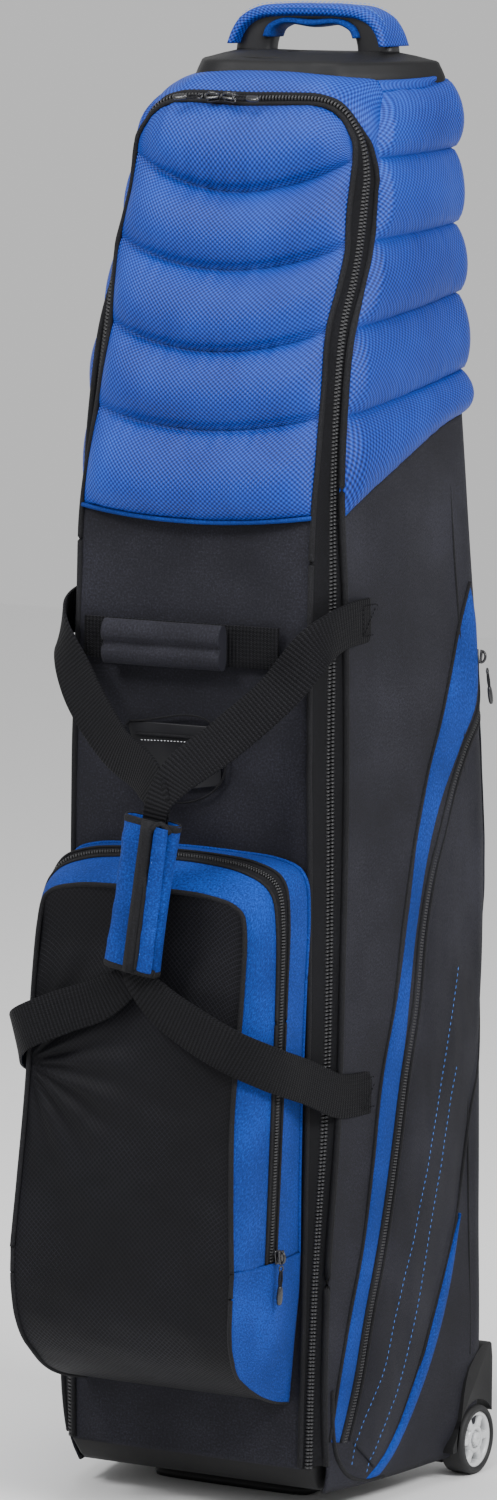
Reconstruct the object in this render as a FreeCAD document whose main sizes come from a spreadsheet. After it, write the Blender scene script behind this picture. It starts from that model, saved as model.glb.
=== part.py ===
import FreeCAD, Part
import math
import os
import re
import Sketcher

"""Upright golf travel case: moulded base with two wheels, zipped front panel with pocket, hard top cap.

Frame: +Z up, +X to the right, the front faces -Y, origin under the middle of the case on the floor.
Millimetres throughout. The driving sizes are the cells of the sheet "Sizes".
"""

SIZES = {
    "foot_half": 78, "foot_front": -2, "foot_back": 50, "foot_top": 19,
    "base_front": -57, "base_lip_half": 131, "base_back_half": 152, "base_rim": 48, "base_back": 166,
    "hinge_front": -75.5, "hinge_level": 48.5,
    "wheel_radius": 31, "wheel_width": 23, "wheel_face": 164, "axle_back": 157, "rim_radius": 25,
    "arch_radius": 36, "bearing_outer": 8, "axle_radius": 4,
    "back_plane": 172, "wall": 5, "web": 38, "web_thick": 2.5,
    "low_level": 48, "pocket_level": 450, "shoulder_level": 800, "neck_level": 1013, "hood_level": 1222,
    "back_low": 161, "back_pocket": 157, "back_shoulder": 144, "back_neck": 127, "back_hood": 118,
    "seam_low": 130, "seam_pocket": 132, "seam_shoulder": 128, "seam_neck": 120, "seam_hood": 112,
    "depth_low": -58, "depth_pocket": -43, "depth_shoulder": -38, "depth_neck": -17, "depth_hood": 16,
    "coil_low": 119, "coil_pocket": 123, "coil_shoulder": 121, "coil_neck": 117, "coil_hood": 100,
    "coil_gap": 1, "tape_thick": 2,
    "face_low": 115, "face_pocket": 119, "face_shoulder": 112, "face_neck": 106, "face_top": 86,
    "front_pocket": -74, "front_shoulder": -70, "front_neck": -31, "front_top": 15,
    "quilt_level": 866, "quilt_top": 1209, "quilt_thick": 12, "hood_split_front": 880, "hood_split_back": 945,
    "cap_front": 25, "cap_back": 168, "cap_half": 121, "cap_low": 1223, "cap_rim": 1234, "cap_ridge": 1243,
    "cap_top": 1254, "handle_back": 137, "handle_half": 79, "handle_depth": 22, "grip_depth": 38,
    "total": 1295, "cover_low": 235, "cover_top": 545, "gusset_half": 121, "zip_front": -122,
    "web_anchor_high": 775, "web_anchor_low": 366, "bridge_half": 125.7, "housing_width": 36,
}

doc = FreeCAD.newDocument("golf_travel_case")
sheet = doc.addObject("Spreadsheet::Sheet", "Sizes")
for row, (alias, value) in enumerate(SIZES.items(), start=1):
    sheet.set("A%d" % row, alias)
    sheet.set("B%d" % row, str(value))
    sheet.setAlias("B%d" % row, alias)
doc.recompute()

parts = []


def bind(text):
    """Turn words of a size formula into references to the sheet's cells."""
    return re.sub(r"[a-z_]{3,}", lambda word: "Sizes." + word.group(0), str(text))


def number(text):
    return float(sheet.evalExpression(bind(text)))


def keep(shape_object, label):
    """Name a finished sub-part; its label is the name of its file."""
    shape_object.Label = label
    parts.append(shape_object)
    return shape_object


def new_body(name):
    return doc.addObject("PartDesign::Body", name)


def sketch_on(body, role, offset, corners):
    """Closed straight-sided outline on an origin plane, each corner held by two bound dimensions."""
    sketch = body.newObject("Sketcher::SketchObject", "Outline")
    plane = [item for item in body.Origin.OriginFeatures if item.Role == role][0]
    sketch.AttachmentSupport = [(plane, "")]
    sketch.MapMode = "FlatFace"
    sketch.setExpression("AttachmentOffset.Base.z", bind(offset))
    points = [FreeCAD.Vector(number(across), number(along), 0) for across, along in corners]
    count = len(points)
    for index in range(count):
        sketch.addGeometry(Part.LineSegment(points[index], points[(index + 1) % count]))
    for index in range(count):
        sketch.addConstraint(Sketcher.Constraint("Coincident", index, 2, (index + 1) % count, 1))
    for index, (across, along) in enumerate(corners):
        for kind, formula, value in (("DistanceX", across, points[index].x), ("DistanceY", along, points[index].y)):
            place = sketch.addConstraint(Sketcher.Constraint(kind, -1, 1, index, 1, value))
            sketch.setExpression("Constraints[%d]" % place, bind(formula))
    return sketch


def add_loft(body, levels):
    """Ruled solid through level outlines, each a height and its corners."""
    sketches = [sketch_on(body, "XY_Plane", level, corners) for level, corners in levels]
    loft = body.newObject("PartDesign::AdditiveLoft", "Loft")
    loft.Profile = sketches[0]
    loft.Sections = sketches[1:]
    loft.Ruled = True
    return body


def add_pad(body, role, offset, corners, length, both_ways=False):
    pad = body.newObject("PartDesign::Pad", "Pad")
    pad.Profile = sketch_on(body, role, offset, corners)
    pad.setExpression("Length", bind(length))
    pad.Midplane = both_ways
    return body


def cut_away(body, role, corners, length="900"):
    """Remove everything inside an outline, on both sides of its plane."""
    pocket = body.newObject("PartDesign::Pocket", "Pocket")
    pocket.Profile = sketch_on(body, role, "0", corners)
    pocket.setExpression("Length", bind(length))
    pocket.Midplane = True
    return body


def rectangle(left, right, low, high):
    return [(left, low), (right, low), (right, high), (left, high)]


def signed(side, text):
    return "%d * (%s)" % (side, text)


def box(name, left, right, front, back, low, high):
    """Plain block bound to the sheet, made as a pad on the level plane."""
    body = new_body(name)
    add_pad(body, "XY_Plane", low, rectangle(left, right, front, back), "(%s) - (%s)" % (high, low))
    return body


def common(name, base, tool):
    result = doc.addObject("Part::Common", name)
    result.Base = base
    result.Tool = tool
    return result


def cut(name, base, tool):
    result = doc.addObject("Part::Cut", name)
    result.Base = base
    result.Tool = tool
    return result


def together(name, pieces):
    """Identical or sewn-together pieces that share one node."""
    group = doc.addObject("Part::MultiFuse", name)
    group.Shapes = pieces
    return group


def rod(name, radius, length, base, direction):
    """Cylinder from a point along a direction."""
    cylinder = doc.addObject("Part::Cylinder", name)
    cylinder.setExpression("Radius", bind(radius))
    cylinder.setExpression("Height", bind(length))
    start = FreeCAD.Vector(*[number(value) for value in base])
    cylinder.Placement = FreeCAD.Placement(start, FreeCAD.Rotation(FreeCAD.Vector(0, 0, 1), direction))
    return cylinder


def band(label, stations, width, thick):
    """Flat webbing through stations, each a centre and the way its outer face looks."""
    centres = [FreeCAD.Vector(*centre) for centre, _ in stations]
    wires = []
    for index, (_, outward) in enumerate(stations):
        before = centres[max(index - 1, 0)]
        after = centres[min(index + 1, len(centres) - 1)]
        along = (after - before).normalize()
        across = along.cross(FreeCAD.Vector(*outward)).normalize()
        normal = across.cross(along)
        corners = []
        for sideways, lift in ((-1, -1), (1, -1), (1, 1), (-1, 1)):
            corners.append(centres[index] + across * (sideways * width / 2) + normal * (lift * thick / 2))
        wires.append(Part.makePolygon(corners + [corners[0]]))
    feature = doc.addObject("Part::Feature", label)
    feature.Shape = Part.makeLoft(wires, True, True)
    return keep(feature, label)


# ---- the body of the case ------------------------------------------------------------------------

WALL_LEVELS = [
    ("low_level", "back_low", "seam_low", "depth_low"),
    ("pocket_level", "back_pocket", "seam_pocket", "depth_pocket"),
    ("shoulder_level", "back_shoulder", "seam_shoulder", "depth_shoulder"),
    ("neck_level", "back_neck", "seam_neck", "depth_neck"),
    ("hood_level", "back_hood", "seam_hood", "depth_hood"),
]


def side_layer(name, side, inner, outer, last_level=5):
    """Layer of the slanting side wall between two offsets outward from the wall's outer face."""
    levels = []
    for level, back, seam, depth in WALL_LEVELS[:last_level]:
        corners = [
            (signed(side, "%s + %s" % (seam, inner)), depth),
            (signed(side, "%s + %s" % (seam, outer)), depth),
            (signed(side, "%s + %s" % (back, outer)), "back_plane - wall"),
            (signed(side, "%s + %s" % (back, inner)), "back_plane - wall"),
        ]
        levels.append((level, corners))
    return add_loft(new_body(name), levels)


def above_split():
    """Side outline of everything above the sloping line where the blue hood starts."""
    return [("-400", "hood_split_front - 125"), ("400", "hood_split_back + 88"), ("400", "1600"), ("-400", "1600")]


def below_split():
    return [("-400", "-100"), ("400", "-100"), ("400", "hood_split_back + 88"), ("-400", "hood_split_front - 125")]


def make_base():
    tray = new_body("BaseTray")
    profile = [("base_front", "base_rim - 22"), ("-40", "foot_top"), ("60", "foot_top"), ("113", "base_rim - 22"),
               ("113", "60"), ("base_front - 14", "base_rim - 1")]
    add_pad(tray, "YZ_Plane", "0", profile, "2 * base_back_half", True)
    for side in (-1, 1):
        cut_away(tray, "XY_Plane", [
            (signed(side, "base_lip_half"), "base_front - 60"), (signed(side, "300"), "base_front - 60"),
            (signed(side, "300"), "base_back + 40"), (signed(side, "base_back_half + 6"), "base_back + 40"),
        ])
    add_pad(tray, "YZ_Plane", "0", [("112", "base_rim - 22"), ("122", "base_rim - 22"), ("172", "100"), ("172", "115"),
                                    ("160", "115"), ("112", "60")], "2 * bridge_half", True)
    for side, word in ((-1, "left"), (1, "right")):
        tray = cut("BaseTrayInside" + word, tray, side_layer("WallRoom" + word, side, "-wall - 0.2", "40", 2))
    keep(tray, "base_tray")
    foot = new_body("KickFoot")
    add_loft(foot, [
        ("0", rectangle("-foot_half", "foot_half", "foot_front", "foot_back")),
        ("foot_top", rectangle("-foot_half - 35", "foot_half + 35", "foot_front - 38", "foot_back + 8")),
    ])
    keep(foot, "kick_foot")


def make_wheel_housing(side, word):
    """Moulded corner over the wheel, open below and outside, with an inner cheek that holds the axle."""
    housing = new_body("Housing" + word)
    shell = [("113.5", "31"), ("129", "54"), ("133", "74"), ("143", "98"), ("165", "115"), ("184", "115"),
             ("186", "100"), ("186", "31"), ("176", "10"), ("140", "10"), ("113.5", "26")]
    add_pad(housing, "YZ_Plane", signed(side, "126 + housing_width / 2"), shell, "housing_width", True)
    arch = rod("Arch" + word, "arch_radius", "60", (signed(side, "137"), "axle_back", "wheel_radius"),
               FreeCAD.Vector(side, 0, 0))
    bore = rod("Bore" + word, "axle_radius", "60", (signed(side, "120"), "axle_back", "wheel_radius"),
               FreeCAD.Vector(side, 0, 0))
    keep(cut("HousingBored" + word, cut("HousingCut" + word, housing, arch), bore), "wheel_housing_" + word)


def make_back():
    back = new_body("BackPanel")
    outline = [("-back_low", "115.5"), ("back_low", "115.5"), ("back_pocket", "pocket_level"),
               ("back_shoulder", "shoulder_level"), ("130", "hood_split_back"), ("-130", "hood_split_back"),
               ("-back_shoulder", "shoulder_level"), ("-back_pocket", "pocket_level")]
    add_pad(back, "XZ_Plane", "-back_plane", outline, "wall")
    keep(back, "back_panel")
    for side, word in ((-1, "left"), (1, "right")):
        wall = side_layer("SideWall" + word, side, "-wall", "0", 4)
        cut_away(wall, "YZ_Plane", above_split())
        cut_away(wall, "YZ_Plane", [("112.5", "0"), ("250", "0"), ("250", "115.5"), ("165", "115.5"),
                                    ("143", "98.5"), ("132.5", "74.5"), ("128.5", "54.5"), ("112.5", "31.5")])
        keep(wall, "side_panel_" + word)


def hood_section(seam, back, depth):
    """U of the hood at one level, open at the front."""
    outer = [("-" + seam, depth), ("-" + back, "back_plane"), (back, "back_plane"), (seam, depth)]
    inner = [(seam + " - wall", depth), (back + " - wall", "back_plane - wall"),
             ("wall - " + back, "back_plane - wall"), ("wall - " + seam, depth)]
    return outer + inner


def make_hood():
    hood = new_body("Hood")
    levels = [(level, hood_section(seam, back, depth)) for level, back, seam, depth in WALL_LEVELS[2:]]
    add_loft(hood, levels)
    roof = [("-seam_hood", "depth_hood + 2"), ("seam_hood", "depth_hood + 2"), ("back_hood", "back_plane"),
            ("-back_hood", "back_plane")]
    add_pad(hood, "XY_Plane", "hood_level - wall", roof, "wall")
    cut_away(hood, "YZ_Plane", below_split())
    keep(hood, "hood_shell")


def cap_outline(inset):
    """Plan of the cap with its corners cut off."""
    half = "cap_half - %s" % inset
    front = "cap_front + %s" % inset
    back = "cap_back - %s" % inset
    return [("-(%s) + 22" % half, front), (half + " - 22", front), (half, front + " + 20"), (half, back + " - 20"),
            (half + " - 22", back), ("-(%s) + 22" % half, back), ("-(%s)" % half, back + " - 20"),
            ("-(%s)" % half, front + " + 20")]


def make_cap():
    cap = new_body("TopCap")
    add_loft(cap, [("cap_low", cap_outline("0")), ("cap_rim", cap_outline("1")), ("cap_ridge", cap_outline("7")),
                   ("cap_top", cap_outline("26"))])
    keep(cap, "top_cap")


def make_carry_handle():
    arch = new_body("CarryHandle")
    corners = [("-handle_half", "cap_top"), ("-42", "cap_top"), ("-34", "total - 16"), ("34", "total - 16"),
               ("42", "cap_top"), ("handle_half", "cap_top"), ("handle_half - 4", "total - 22"),
               ("handle_half - 20", "total - 5"), ("20 - handle_half", "total - 5"), ("4 - handle_half", "total - 22")]
    add_pad(arch, "XZ_Plane", "-handle_back", corners, "handle_depth", True)
    keep(arch, "carry_handle")
    grip = new_body("Grip")
    grip_corners = [("-56", "total - 19"), ("56", "total - 19"), ("56", "total - 3"), ("44", "total"),
                    ("-44", "total"), ("-56", "total - 3")]
    add_pad(grip, "XZ_Plane", "-handle_back", grip_corners, "grip_depth", True)
    core = new_body("GripCore")
    add_pad(core, "XZ_Plane", "-handle_back", corners, "handle_depth", True)
    keep(cut("GripSleeve", grip, core), "carry_handle_grip")


def on_side(label, side, word, outline, inner, outer):
    """Piece lying on the slanting side wall, cut to an outline seen from the side."""
    layer = side_layer(label + "Layer" + word, side, inner, outer)
    cutter = new_body(label + "Cutter" + word)
    add_pad(cutter, "YZ_Plane", signed(side, "150"), outline, "120", True)
    return keep(common(label + word, layer, cutter), "%s_%s" % (label, word))


STRIPE_FRONT = [("155", "794"), ("112", "715"), ("76", "637"), ("49", "556"), ("26", "437"), ("-3", "301"),
                ("-34", "171"), ("-52", "75")]
STRIPE_REAR = [("168", "728"), ("157", "681"), ("109", "616"), ("77", "548"), ("53", "434"), ("23", "303"),
               ("-13", "167"), ("-45", "65")]
POCKET_BACK = [("167", "420"), ("158", "366"), ("132", "275"), ("118", "226"), ("97", "177"), ("74", "124"),
               ("42", "66"), ("10", "50")]


def shifted(edge, distance):
    """Same edge moved towards the back of the case."""
    return [("%s + %s" % (along, distance), level) for along, level in edge]


def make_side_trim(side, word):
    """Blue stripe, zip tape and soft pocket on one side, edge to edge."""
    on_side("side_stripe", side, word, STRIPE_FRONT + STRIPE_REAR[::-1], "0.3", "3.5")
    on_side("side_zip_tape", side, word, shifted(STRIPE_REAR, "0.5") + shifted(STRIPE_REAR, "12")[::-1],
            "0.3", "2.5")
    on_side("side_pocket", side, word, shifted(STRIPE_REAR, "12.5") + POCKET_BACK[::-1], "0.3", "6.5")


def make_outer_zip_tape():
    """Half of the main zip that stays on the case: two side strips and the strip over the top."""
    tape = new_body("OuterTape")
    coils = ("coil_low", "coil_pocket", "coil_shoulder", "coil_neck", "coil_hood")
    for side in (-1, 1):
        levels = []
        for (level, _, seam, depth), coil in zip(WALL_LEVELS, coils):
            levels.append((level, [
                (signed(side, seam + " - wall"), depth + " - coil_gap"),
                (signed(side, coil), depth + " - 9"),
                (signed(side, coil + " + tape_thick"), depth + " - 10"),
                (signed(side, seam), depth + " - coil_gap"),
            ]))
        add_loft(tape, levels)
    add_pad(tape, "XY_Plane", "hood_level - wall", rectangle("wall + 1 - seam_hood", "seam_hood - wall - 1",
                                                              "depth_hood - 9", "depth_hood + 1.5"), "wall")
    keep(tape, "main_zip_tape_outer")


# ---- the zipped front panel ------------------------------------------------------------------------

PANEL_LEVELS = [
    ("hinge_level", "face_low", "hinge_front", "coil_low", "depth_low"),
    ("pocket_level", "face_pocket", "front_pocket", "coil_pocket", "depth_pocket"),
    ("shoulder_level", "face_shoulder", "front_shoulder", "coil_shoulder", "depth_shoulder"),
    ("quilt_level", "face_shoulder", "front_shoulder + 2", "coil_shoulder", "depth_shoulder + 4"),
    ("neck_level", "face_neck", "front_neck", "coil_neck", "depth_neck"),
    ("quilt_top", "face_top", "front_top - 12", "coil_hood", "depth_hood - 2"),
]


def make_panel_plate(name, levels, thick, label):
    sections = []
    for level, half, front, _, _ in levels:
        sections.append((level, rectangle("-" + half, half, front, "%s + %s" % (front, thick))))
    keep(add_loft(new_body(name), sections), label)


def make_inner_zip_tape():
    """Gusset of the front panel: from the panel's edge back to the coil, down both sides."""
    tape = new_body("InnerTape")
    for side in (-1, 1):
        levels = []
        for level, half, front, coil, depth in PANEL_LEVELS:
            levels.append((level, [
                (signed(side, half), front),
                (signed(side, half + " + tape_thick"), front),
                (signed(side, coil + " - 1"), depth + " - 12"),
                (signed(side, coil + " - 1 - tape_thick"), depth + " - 12"),
            ]))
        add_loft(tape, levels)
    add_pad(tape, "XY_Plane", "quilt_top", rectangle("-face_top", "face_top", "front_top - 12", "front_top + 3"), "3")
    keep(tape, "main_zip_tape_inner")


def make_front_panel():
    make_panel_plate("PanelShell", PANEL_LEVELS[:4], "6", "front_panel_shell")
    make_panel_plate("Quilt", PANEL_LEVELS[3:], "quilt_thick", "front_quilt")
    make_inner_zip_tape()
    window = new_body("NamePlate")
    plate = [("-61", "683"), ("29", "683"), ("33", "632"), ("-39", "621")]
    add_pad(window, "XZ_Plane", "-front_pocket + 1.6", plate, "3")
    keep(window, "name_window")


def pocket_ring(half, front, back, low, high, thick):
    """Wall round the front pocket: two sides and a top, open at the front and below."""
    ring = new_body("PocketRing")
    outline = [("-(%s)" % half, low), ("-(%s)" % half, high + " - 18"), ("18 - (%s)" % half, high),
               ("%s - 18" % half, high), (half, high + " - 18"), (half, low), ("%s - %s" % (half, thick), low),
               ("%s - %s" % (half, thick), high + " - 20"), ("%s - 20" % half, "%s - %s" % (high, thick)),
               ("20 - (%s)" % half, "%s - %s" % (high, thick)),
               ("%s - (%s)" % (thick, half), high + " - 20"), ("%s - (%s)" % (thick, half), low)]
    add_pad(ring, "XZ_Plane", "-(%s)" % back, outline, "(%s) - (%s)" % (back, front))
    return ring


def make_pocket():
    keep(pocket_ring("gusset_half", "zip_front", "front_pocket - 2", "cover_low", "570", "6"), "pocket_gusset")
    bucket = new_body("Bucket")
    add_loft(bucket, [
        ("112", rectangle("-103", "103", "-160", "hinge_front - 0.5")),
        ("125", rectangle("-111", "111", "-177", "hinge_front - 0.5")),
        ("150", rectangle("-116", "116", "-183", "hinge_front - 0.5")),
        ("cover_low - 1", rectangle("-118", "118", "-185", "hinge_front - 0.5")),
    ])
    hollow = new_body("BucketHollow")
    add_loft(hollow, [
        ("122", rectangle("-104", "104", "-170", "hinge_front - 6")),
        ("cover_low + 5", rectangle("-112", "112", "-179", "hinge_front - 6")),
    ])
    keep(cut("BucketShell", bucket, hollow), "pocket_bucket")
    cover = new_body("Cover")
    add_loft(cover, [
        ("cover_low", rectangle("-111", "111", "-187", "zip_front - 4")),
        ("371", rectangle("-102", "102", "-178", "zip_front - 4")),
        ("500", rectangle("-104", "104", "-160", "zip_front - 4")),
        ("cover_top", rectangle("-82", "82", "-156", "zip_front - 4")),
    ])
    inside = new_body("CoverHollow")
    add_loft(inside, [
        ("cover_low - 5", rectangle("-106", "106", "-182", "zip_front + 9")),
        ("371", rectangle("-97", "97", "-173", "zip_front + 9")),
        ("500", rectangle("-99", "99", "-155", "zip_front + 9")),
        ("cover_top - 6", rectangle("-77", "77", "-151", "zip_front + 9")),
    ])
    keep(cut("CoverShell", cover, inside), "pocket_cover")
    keep(pocket_ring("gusset_half", "zip_front - 3", "zip_front - 0.3", "cover_low", "570", "12"), "pocket_zip_tape")


# ---- straps and grab handles -----------------------------------------------------------------------

def make_straps():
    """Two webbing loops from the sides, brought together in front of the pocket inside the cuff."""
    high = number("web_anchor_high")
    low = number("web_anchor_low")
    front = (0, -1, 0)
    for side, word, layer in ((1, "right", -182.7), (-1, "left", -178.2)):
        out = (side, 0, 0)
        corner = (side, -1, 0)
        mouth = {1: (38, -172, high - 126), -1: (8, -162, high - 132)}[side]
        spread = {1: (66, -128, high - 94), -1: (-46, -128, high - 106)}[side]
        band("strap_" + word, [
            ((side * 135, -4, high), out), ((side * 134, -40, high - 2), out),
            ((side * 127, -80, high - 16), corner), ((side * 100, -100, high - 56), front),
            (spread, front), (mouth, front), ((30, layer, high - 150), front),
            ((6, layer, low + 112), front), ((side * 34, layer, low + 90), front),
            ((side * 104, -184.5, low + 58), (side * 0.25, -1, 0)), ((side * 125, -151, low + 40), corner),
            ((side * 131, -100, low + 22), out), ((side * 135.5, -46, low + 2), out),
            ((side * 140, -4, low), out),
        ], number("web"), number("web_thick"))


def cuff_block(name, left, front, low, length, width, height):
    """Block leaning with the cuff, a little to the right as it rises."""
    block = doc.addObject("Part::Box", name)
    block.Length, block.Width, block.Height = length, width, height
    lean = FreeCAD.Rotation(FreeCAD.Vector(0, 1, 0), 9)
    block.Placement = FreeCAD.Placement(FreeCAD.Vector(left, front, low), lean)
    return block


def make_wrap():
    """Soft cuff closed round both straps, and the flap that holds it shut."""
    sleeve = cuff_block("Cuff", -19, -186.3, 490, 50, 11, 130)
    slot = cuff_block("CuffSlot", -16.5, -184.6, 470, 45, 8, 170)
    keep(cut("CuffSleeve", sleeve, slot), "wrap_cuff")
    keep(cuff_block("Flap", 5, -188, 491, 26, 1.5, 122), "wrap_flap")


def make_grab_handles():
    front = new_body("FrontGrab")
    add_loft(front, [
        ("732", rectangle("-79", "38", "-92", "-80")),
        ("751", rectangle("-79", "38", "-95", "-79")),
        ("771", rectangle("-79", "38", "-90", "-80")),
    ])
    web = box("FrontGrabWeb", "-104", "88", "-80.5", "-78", "736", "771")
    keep(together("FrontGrabHandle", [front, web]), "front_grab_handle")
    rear = new_body("RearGrab")
    corners = [("-150", "173"), ("-118", "173"), ("-100", "180"), ("100", "180"), ("118", "173"), ("150", "173"),
               ("150", "176"), ("118", "180"), ("102", "186"), ("-102", "186"), ("-118", "180"), ("-150", "176")]
    add_pad(rear, "XY_Plane", "378", corners, "web")
    keep(rear, "rear_grab_handle")


# ---- wheels ----------------------------------------------------------------------------------------

def ring(name, side, inner, outer, near, far):
    """Ring about the wheel's axis between two radii and two distances from the middle of the case."""
    body = new_body(name)
    sketch = sketch_on(body, "XY_Plane", "0", rectangle(signed(side, near), signed(side, far), inner, outer))
    turn = body.newObject("PartDesign::Revolution", "Turn")
    turn.Profile = sketch
    turn.ReferenceAxis = (sketch, ["H_Axis"])
    turn.Angle = 360
    hub = FreeCAD.Vector(0, number("axle_back"), number("wheel_radius"))
    body.Placement = FreeCAD.Placement(hub, FreeCAD.Rotation())
    return body


def make_wheel(side, word):
    near = "wheel_face - wheel_width"
    keep(ring("Tyre" + word, side, "rim_radius", "wheel_radius", near, "wheel_face"), "tyre_" + word)
    keep(ring("Bearing" + word, side, "axle_radius + 0.05", "bearing_outer", near + " + 4", "wheel_face - 6"),
         "bearing_" + word)
    disc = ring("RimDisc" + word, side, "bearing_outer", "rim_radius", near + " + 2", "wheel_face - 3")
    cutters = []
    for turn in range(6):
        angle = math.radians(60 * turn + 30)
        spot = ("0", "axle_back + %.3f" % (17.5 * math.cos(angle)), "wheel_radius + %.3f" % (17.5 * math.sin(angle)))
        cutters.append(rod("Window%s%d" % (word, turn), "4.2", "200", spot, FreeCAD.Vector(side, 0, 0)))
    keep(cut("Rim" + word, disc, together("Windows" + word, cutters)), "rim_" + word)


def make_axles():
    """A fixed pin in each cheek of the base, and the nut that holds the wheel on it."""
    pins = []
    nuts = []
    for side in (-1, 1):
        pins.append(rod("AxlePin", "axle_radius", "wheel_face - 126.5", (signed(side, "126"), "axle_back",
                                                                      "wheel_radius"), FreeCAD.Vector(side, 0, 0)))
        nuts.append(ring("AxleNut", side, "axle_radius", "7", "wheel_face - 4", "wheel_face - 0.5"))
    keep(together("Axles", pins), "axles")
    keep(together("Nuts", nuts), "axle_nuts")


# ---- zip sliders and pulls --------------------------------------------------------------------------

def small_block(label, centre, size, turn=0.0, axis=(1, 0, 0)):
    """Slider body or pull tab: a small block about its centre, turned about an axis."""
    block = doc.addObject("Part::Box", label)
    block.Length, block.Width, block.Height = size
    rotation = FreeCAD.Rotation(FreeCAD.Vector(*axis), turn)
    middle = rotation.multVec(FreeCAD.Vector(*size) * 0.5)
    block.Placement = FreeCAD.Placement(FreeCAD.Vector(*centre) - middle, rotation)
    return keep(block, label)


def make_sliders():
    for side, word in ((-1, "left"), (1, "right")):
        small_block("main_slider_" + word, (-21 + 8 * side, -0.8, 1213.5), (11, 6, 7))
        small_block("main_pull_" + word, (-21 + 29 * side, -5, 1213), (28, 2, 6))
        small_block("side_slider_" + word, (side * 155.5, 160, 724), (5, 8, 13), -12)
        small_block("side_pull_" + word, (side * 159, 164, 699), (2, 4, 34), 8)
    small_block("pocket_slider", (118, -129, 241), (9, 6, 13))
    small_block("pocket_pull", (121.3, -133.5, 217), (2, 4, 34))


# ---- inside -----------------------------------------------------------------------------------------

def make_inside():
    keep(box("BasePad", "-108", "108", "-52", "100", "60.5", "68"), "base_pad")
    keep(box("CrownPad", "-92", "92", "40", "158", "1206", "1216.5"), "crown_pad")
    for word, level in (("lower", 330), ("upper", 720)):
        low, high = str(level), "%d + web" % level
        keep(box("Cinch" + word, "-128", "128", "164", "166.5", low, high), "cinch_strap_" + word)
        keep(box("Socket" + word, "-22", "10", "157", "163.7", low, high), "cinch_socket_" + word)
        keep(box("Plug" + word, "10.3", "46.7", "158", "163.5", low, high), "cinch_plug_" + word)


def make_screws():
    screws = [rod("CapScrew%d" % index, "2.4", "38", (str(across), "handle_back", "hood_level - wall"),
                  FreeCAD.Vector(0, 0, 1)) for index, across in enumerate((-66, -54, 54, 66))]
    keep(together("CapScrews", screws), "handle_screws")
    feet = [rod("FootScrew%d" % index, "3", "26", (str(across), str(along), "8"), FreeCAD.Vector(0, 0, 1))
            for index, (across, along) in enumerate(((-60, 10), (60, 10), (-60, 40), (60, 40)))]
    keep(together("FootScrews", feet), "foot_screws")


def make_all():
    make_base()
    make_back()
    make_hood()
    make_cap()
    make_carry_handle()
    make_outer_zip_tape()
    make_front_panel()
    make_pocket()
    make_straps()
    make_wrap()
    make_grab_handles()
    for side, word in ((-1, "left"), (1, "right")):
        make_wheel_housing(side, word)
        make_side_trim(side, word)
        make_wheel(side, word)
    make_axles()
    make_sliders()
    make_inside()
    make_screws()


def export_all():
    doc.recompute()
    failed = [item.Name for item in doc.Objects if "Invalid" in item.State or "Error" in item.State]
    if failed:
        raise SystemExit("failed objects: %s" % failed)
    os.makedirs("parts", exist_ok=True)
    for piece in parts:
        if piece.Shape.isNull() or not piece.Shape.isValid():
            raise SystemExit("bad shape: %s" % piece.Label)
    for piece in parts:
        piece.Shape.exportStep(os.path.join("parts", piece.Label + ".step"))
        print(piece.Label, len(piece.Shape.Solids), round(piece.Shape.Volume))


make_all()
export_all()
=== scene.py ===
import math
from functools import lru_cache

import bmesh
import bpy
import numpy as np
from mathutils import Matrix, Vector, noise


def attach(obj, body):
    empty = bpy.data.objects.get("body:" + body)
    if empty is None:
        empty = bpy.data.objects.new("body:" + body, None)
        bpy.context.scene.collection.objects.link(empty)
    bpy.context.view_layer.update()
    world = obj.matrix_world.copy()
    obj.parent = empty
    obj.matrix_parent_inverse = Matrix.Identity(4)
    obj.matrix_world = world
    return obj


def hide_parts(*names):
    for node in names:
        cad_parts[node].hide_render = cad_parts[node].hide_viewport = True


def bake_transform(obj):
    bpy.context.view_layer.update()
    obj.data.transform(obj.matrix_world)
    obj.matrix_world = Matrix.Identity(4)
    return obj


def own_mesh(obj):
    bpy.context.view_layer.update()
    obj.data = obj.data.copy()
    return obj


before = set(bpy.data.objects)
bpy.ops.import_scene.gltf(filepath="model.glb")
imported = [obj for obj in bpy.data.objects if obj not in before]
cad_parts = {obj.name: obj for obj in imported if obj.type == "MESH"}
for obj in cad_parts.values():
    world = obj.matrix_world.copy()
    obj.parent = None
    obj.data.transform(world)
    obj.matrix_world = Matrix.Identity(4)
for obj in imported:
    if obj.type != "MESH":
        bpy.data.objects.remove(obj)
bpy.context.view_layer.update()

MM = 0.001
SIDES = ((-1, "left"), (1, "right"))
BACK = 172.0


# ---- numbers and curves ----------------------------------------------------------------------------

def through(stops, values):
    """Smooth curve through values at the stops, as a function that takes one number or many."""
    stops = np.array(stops, float)
    values = np.array(values, float)
    slopes = np.gradient(values, stops, axis=0)

    def at(place):
        place = np.clip(np.asarray(place, float), stops[0], stops[-1])
        index = np.clip(np.searchsorted(stops, place) - 1, 0, len(stops) - 2)
        span = stops[index + 1] - stops[index]
        part = (place - stops[index]) / span
        extra = (1,) * (values.ndim - 1)
        part, span = (np.asarray(item).reshape(np.shape(item) + extra) for item in (part, span))
        square, cube = part ** 2, part ** 3
        return ((2 * cube - 3 * square + 1) * values[index] + (cube - 2 * square + part) * span
                * slopes[index]
                + (3 * square - 2 * cube) * values[index + 1] + (cube - square) * span * slopes[index + 1])
    return at


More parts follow.
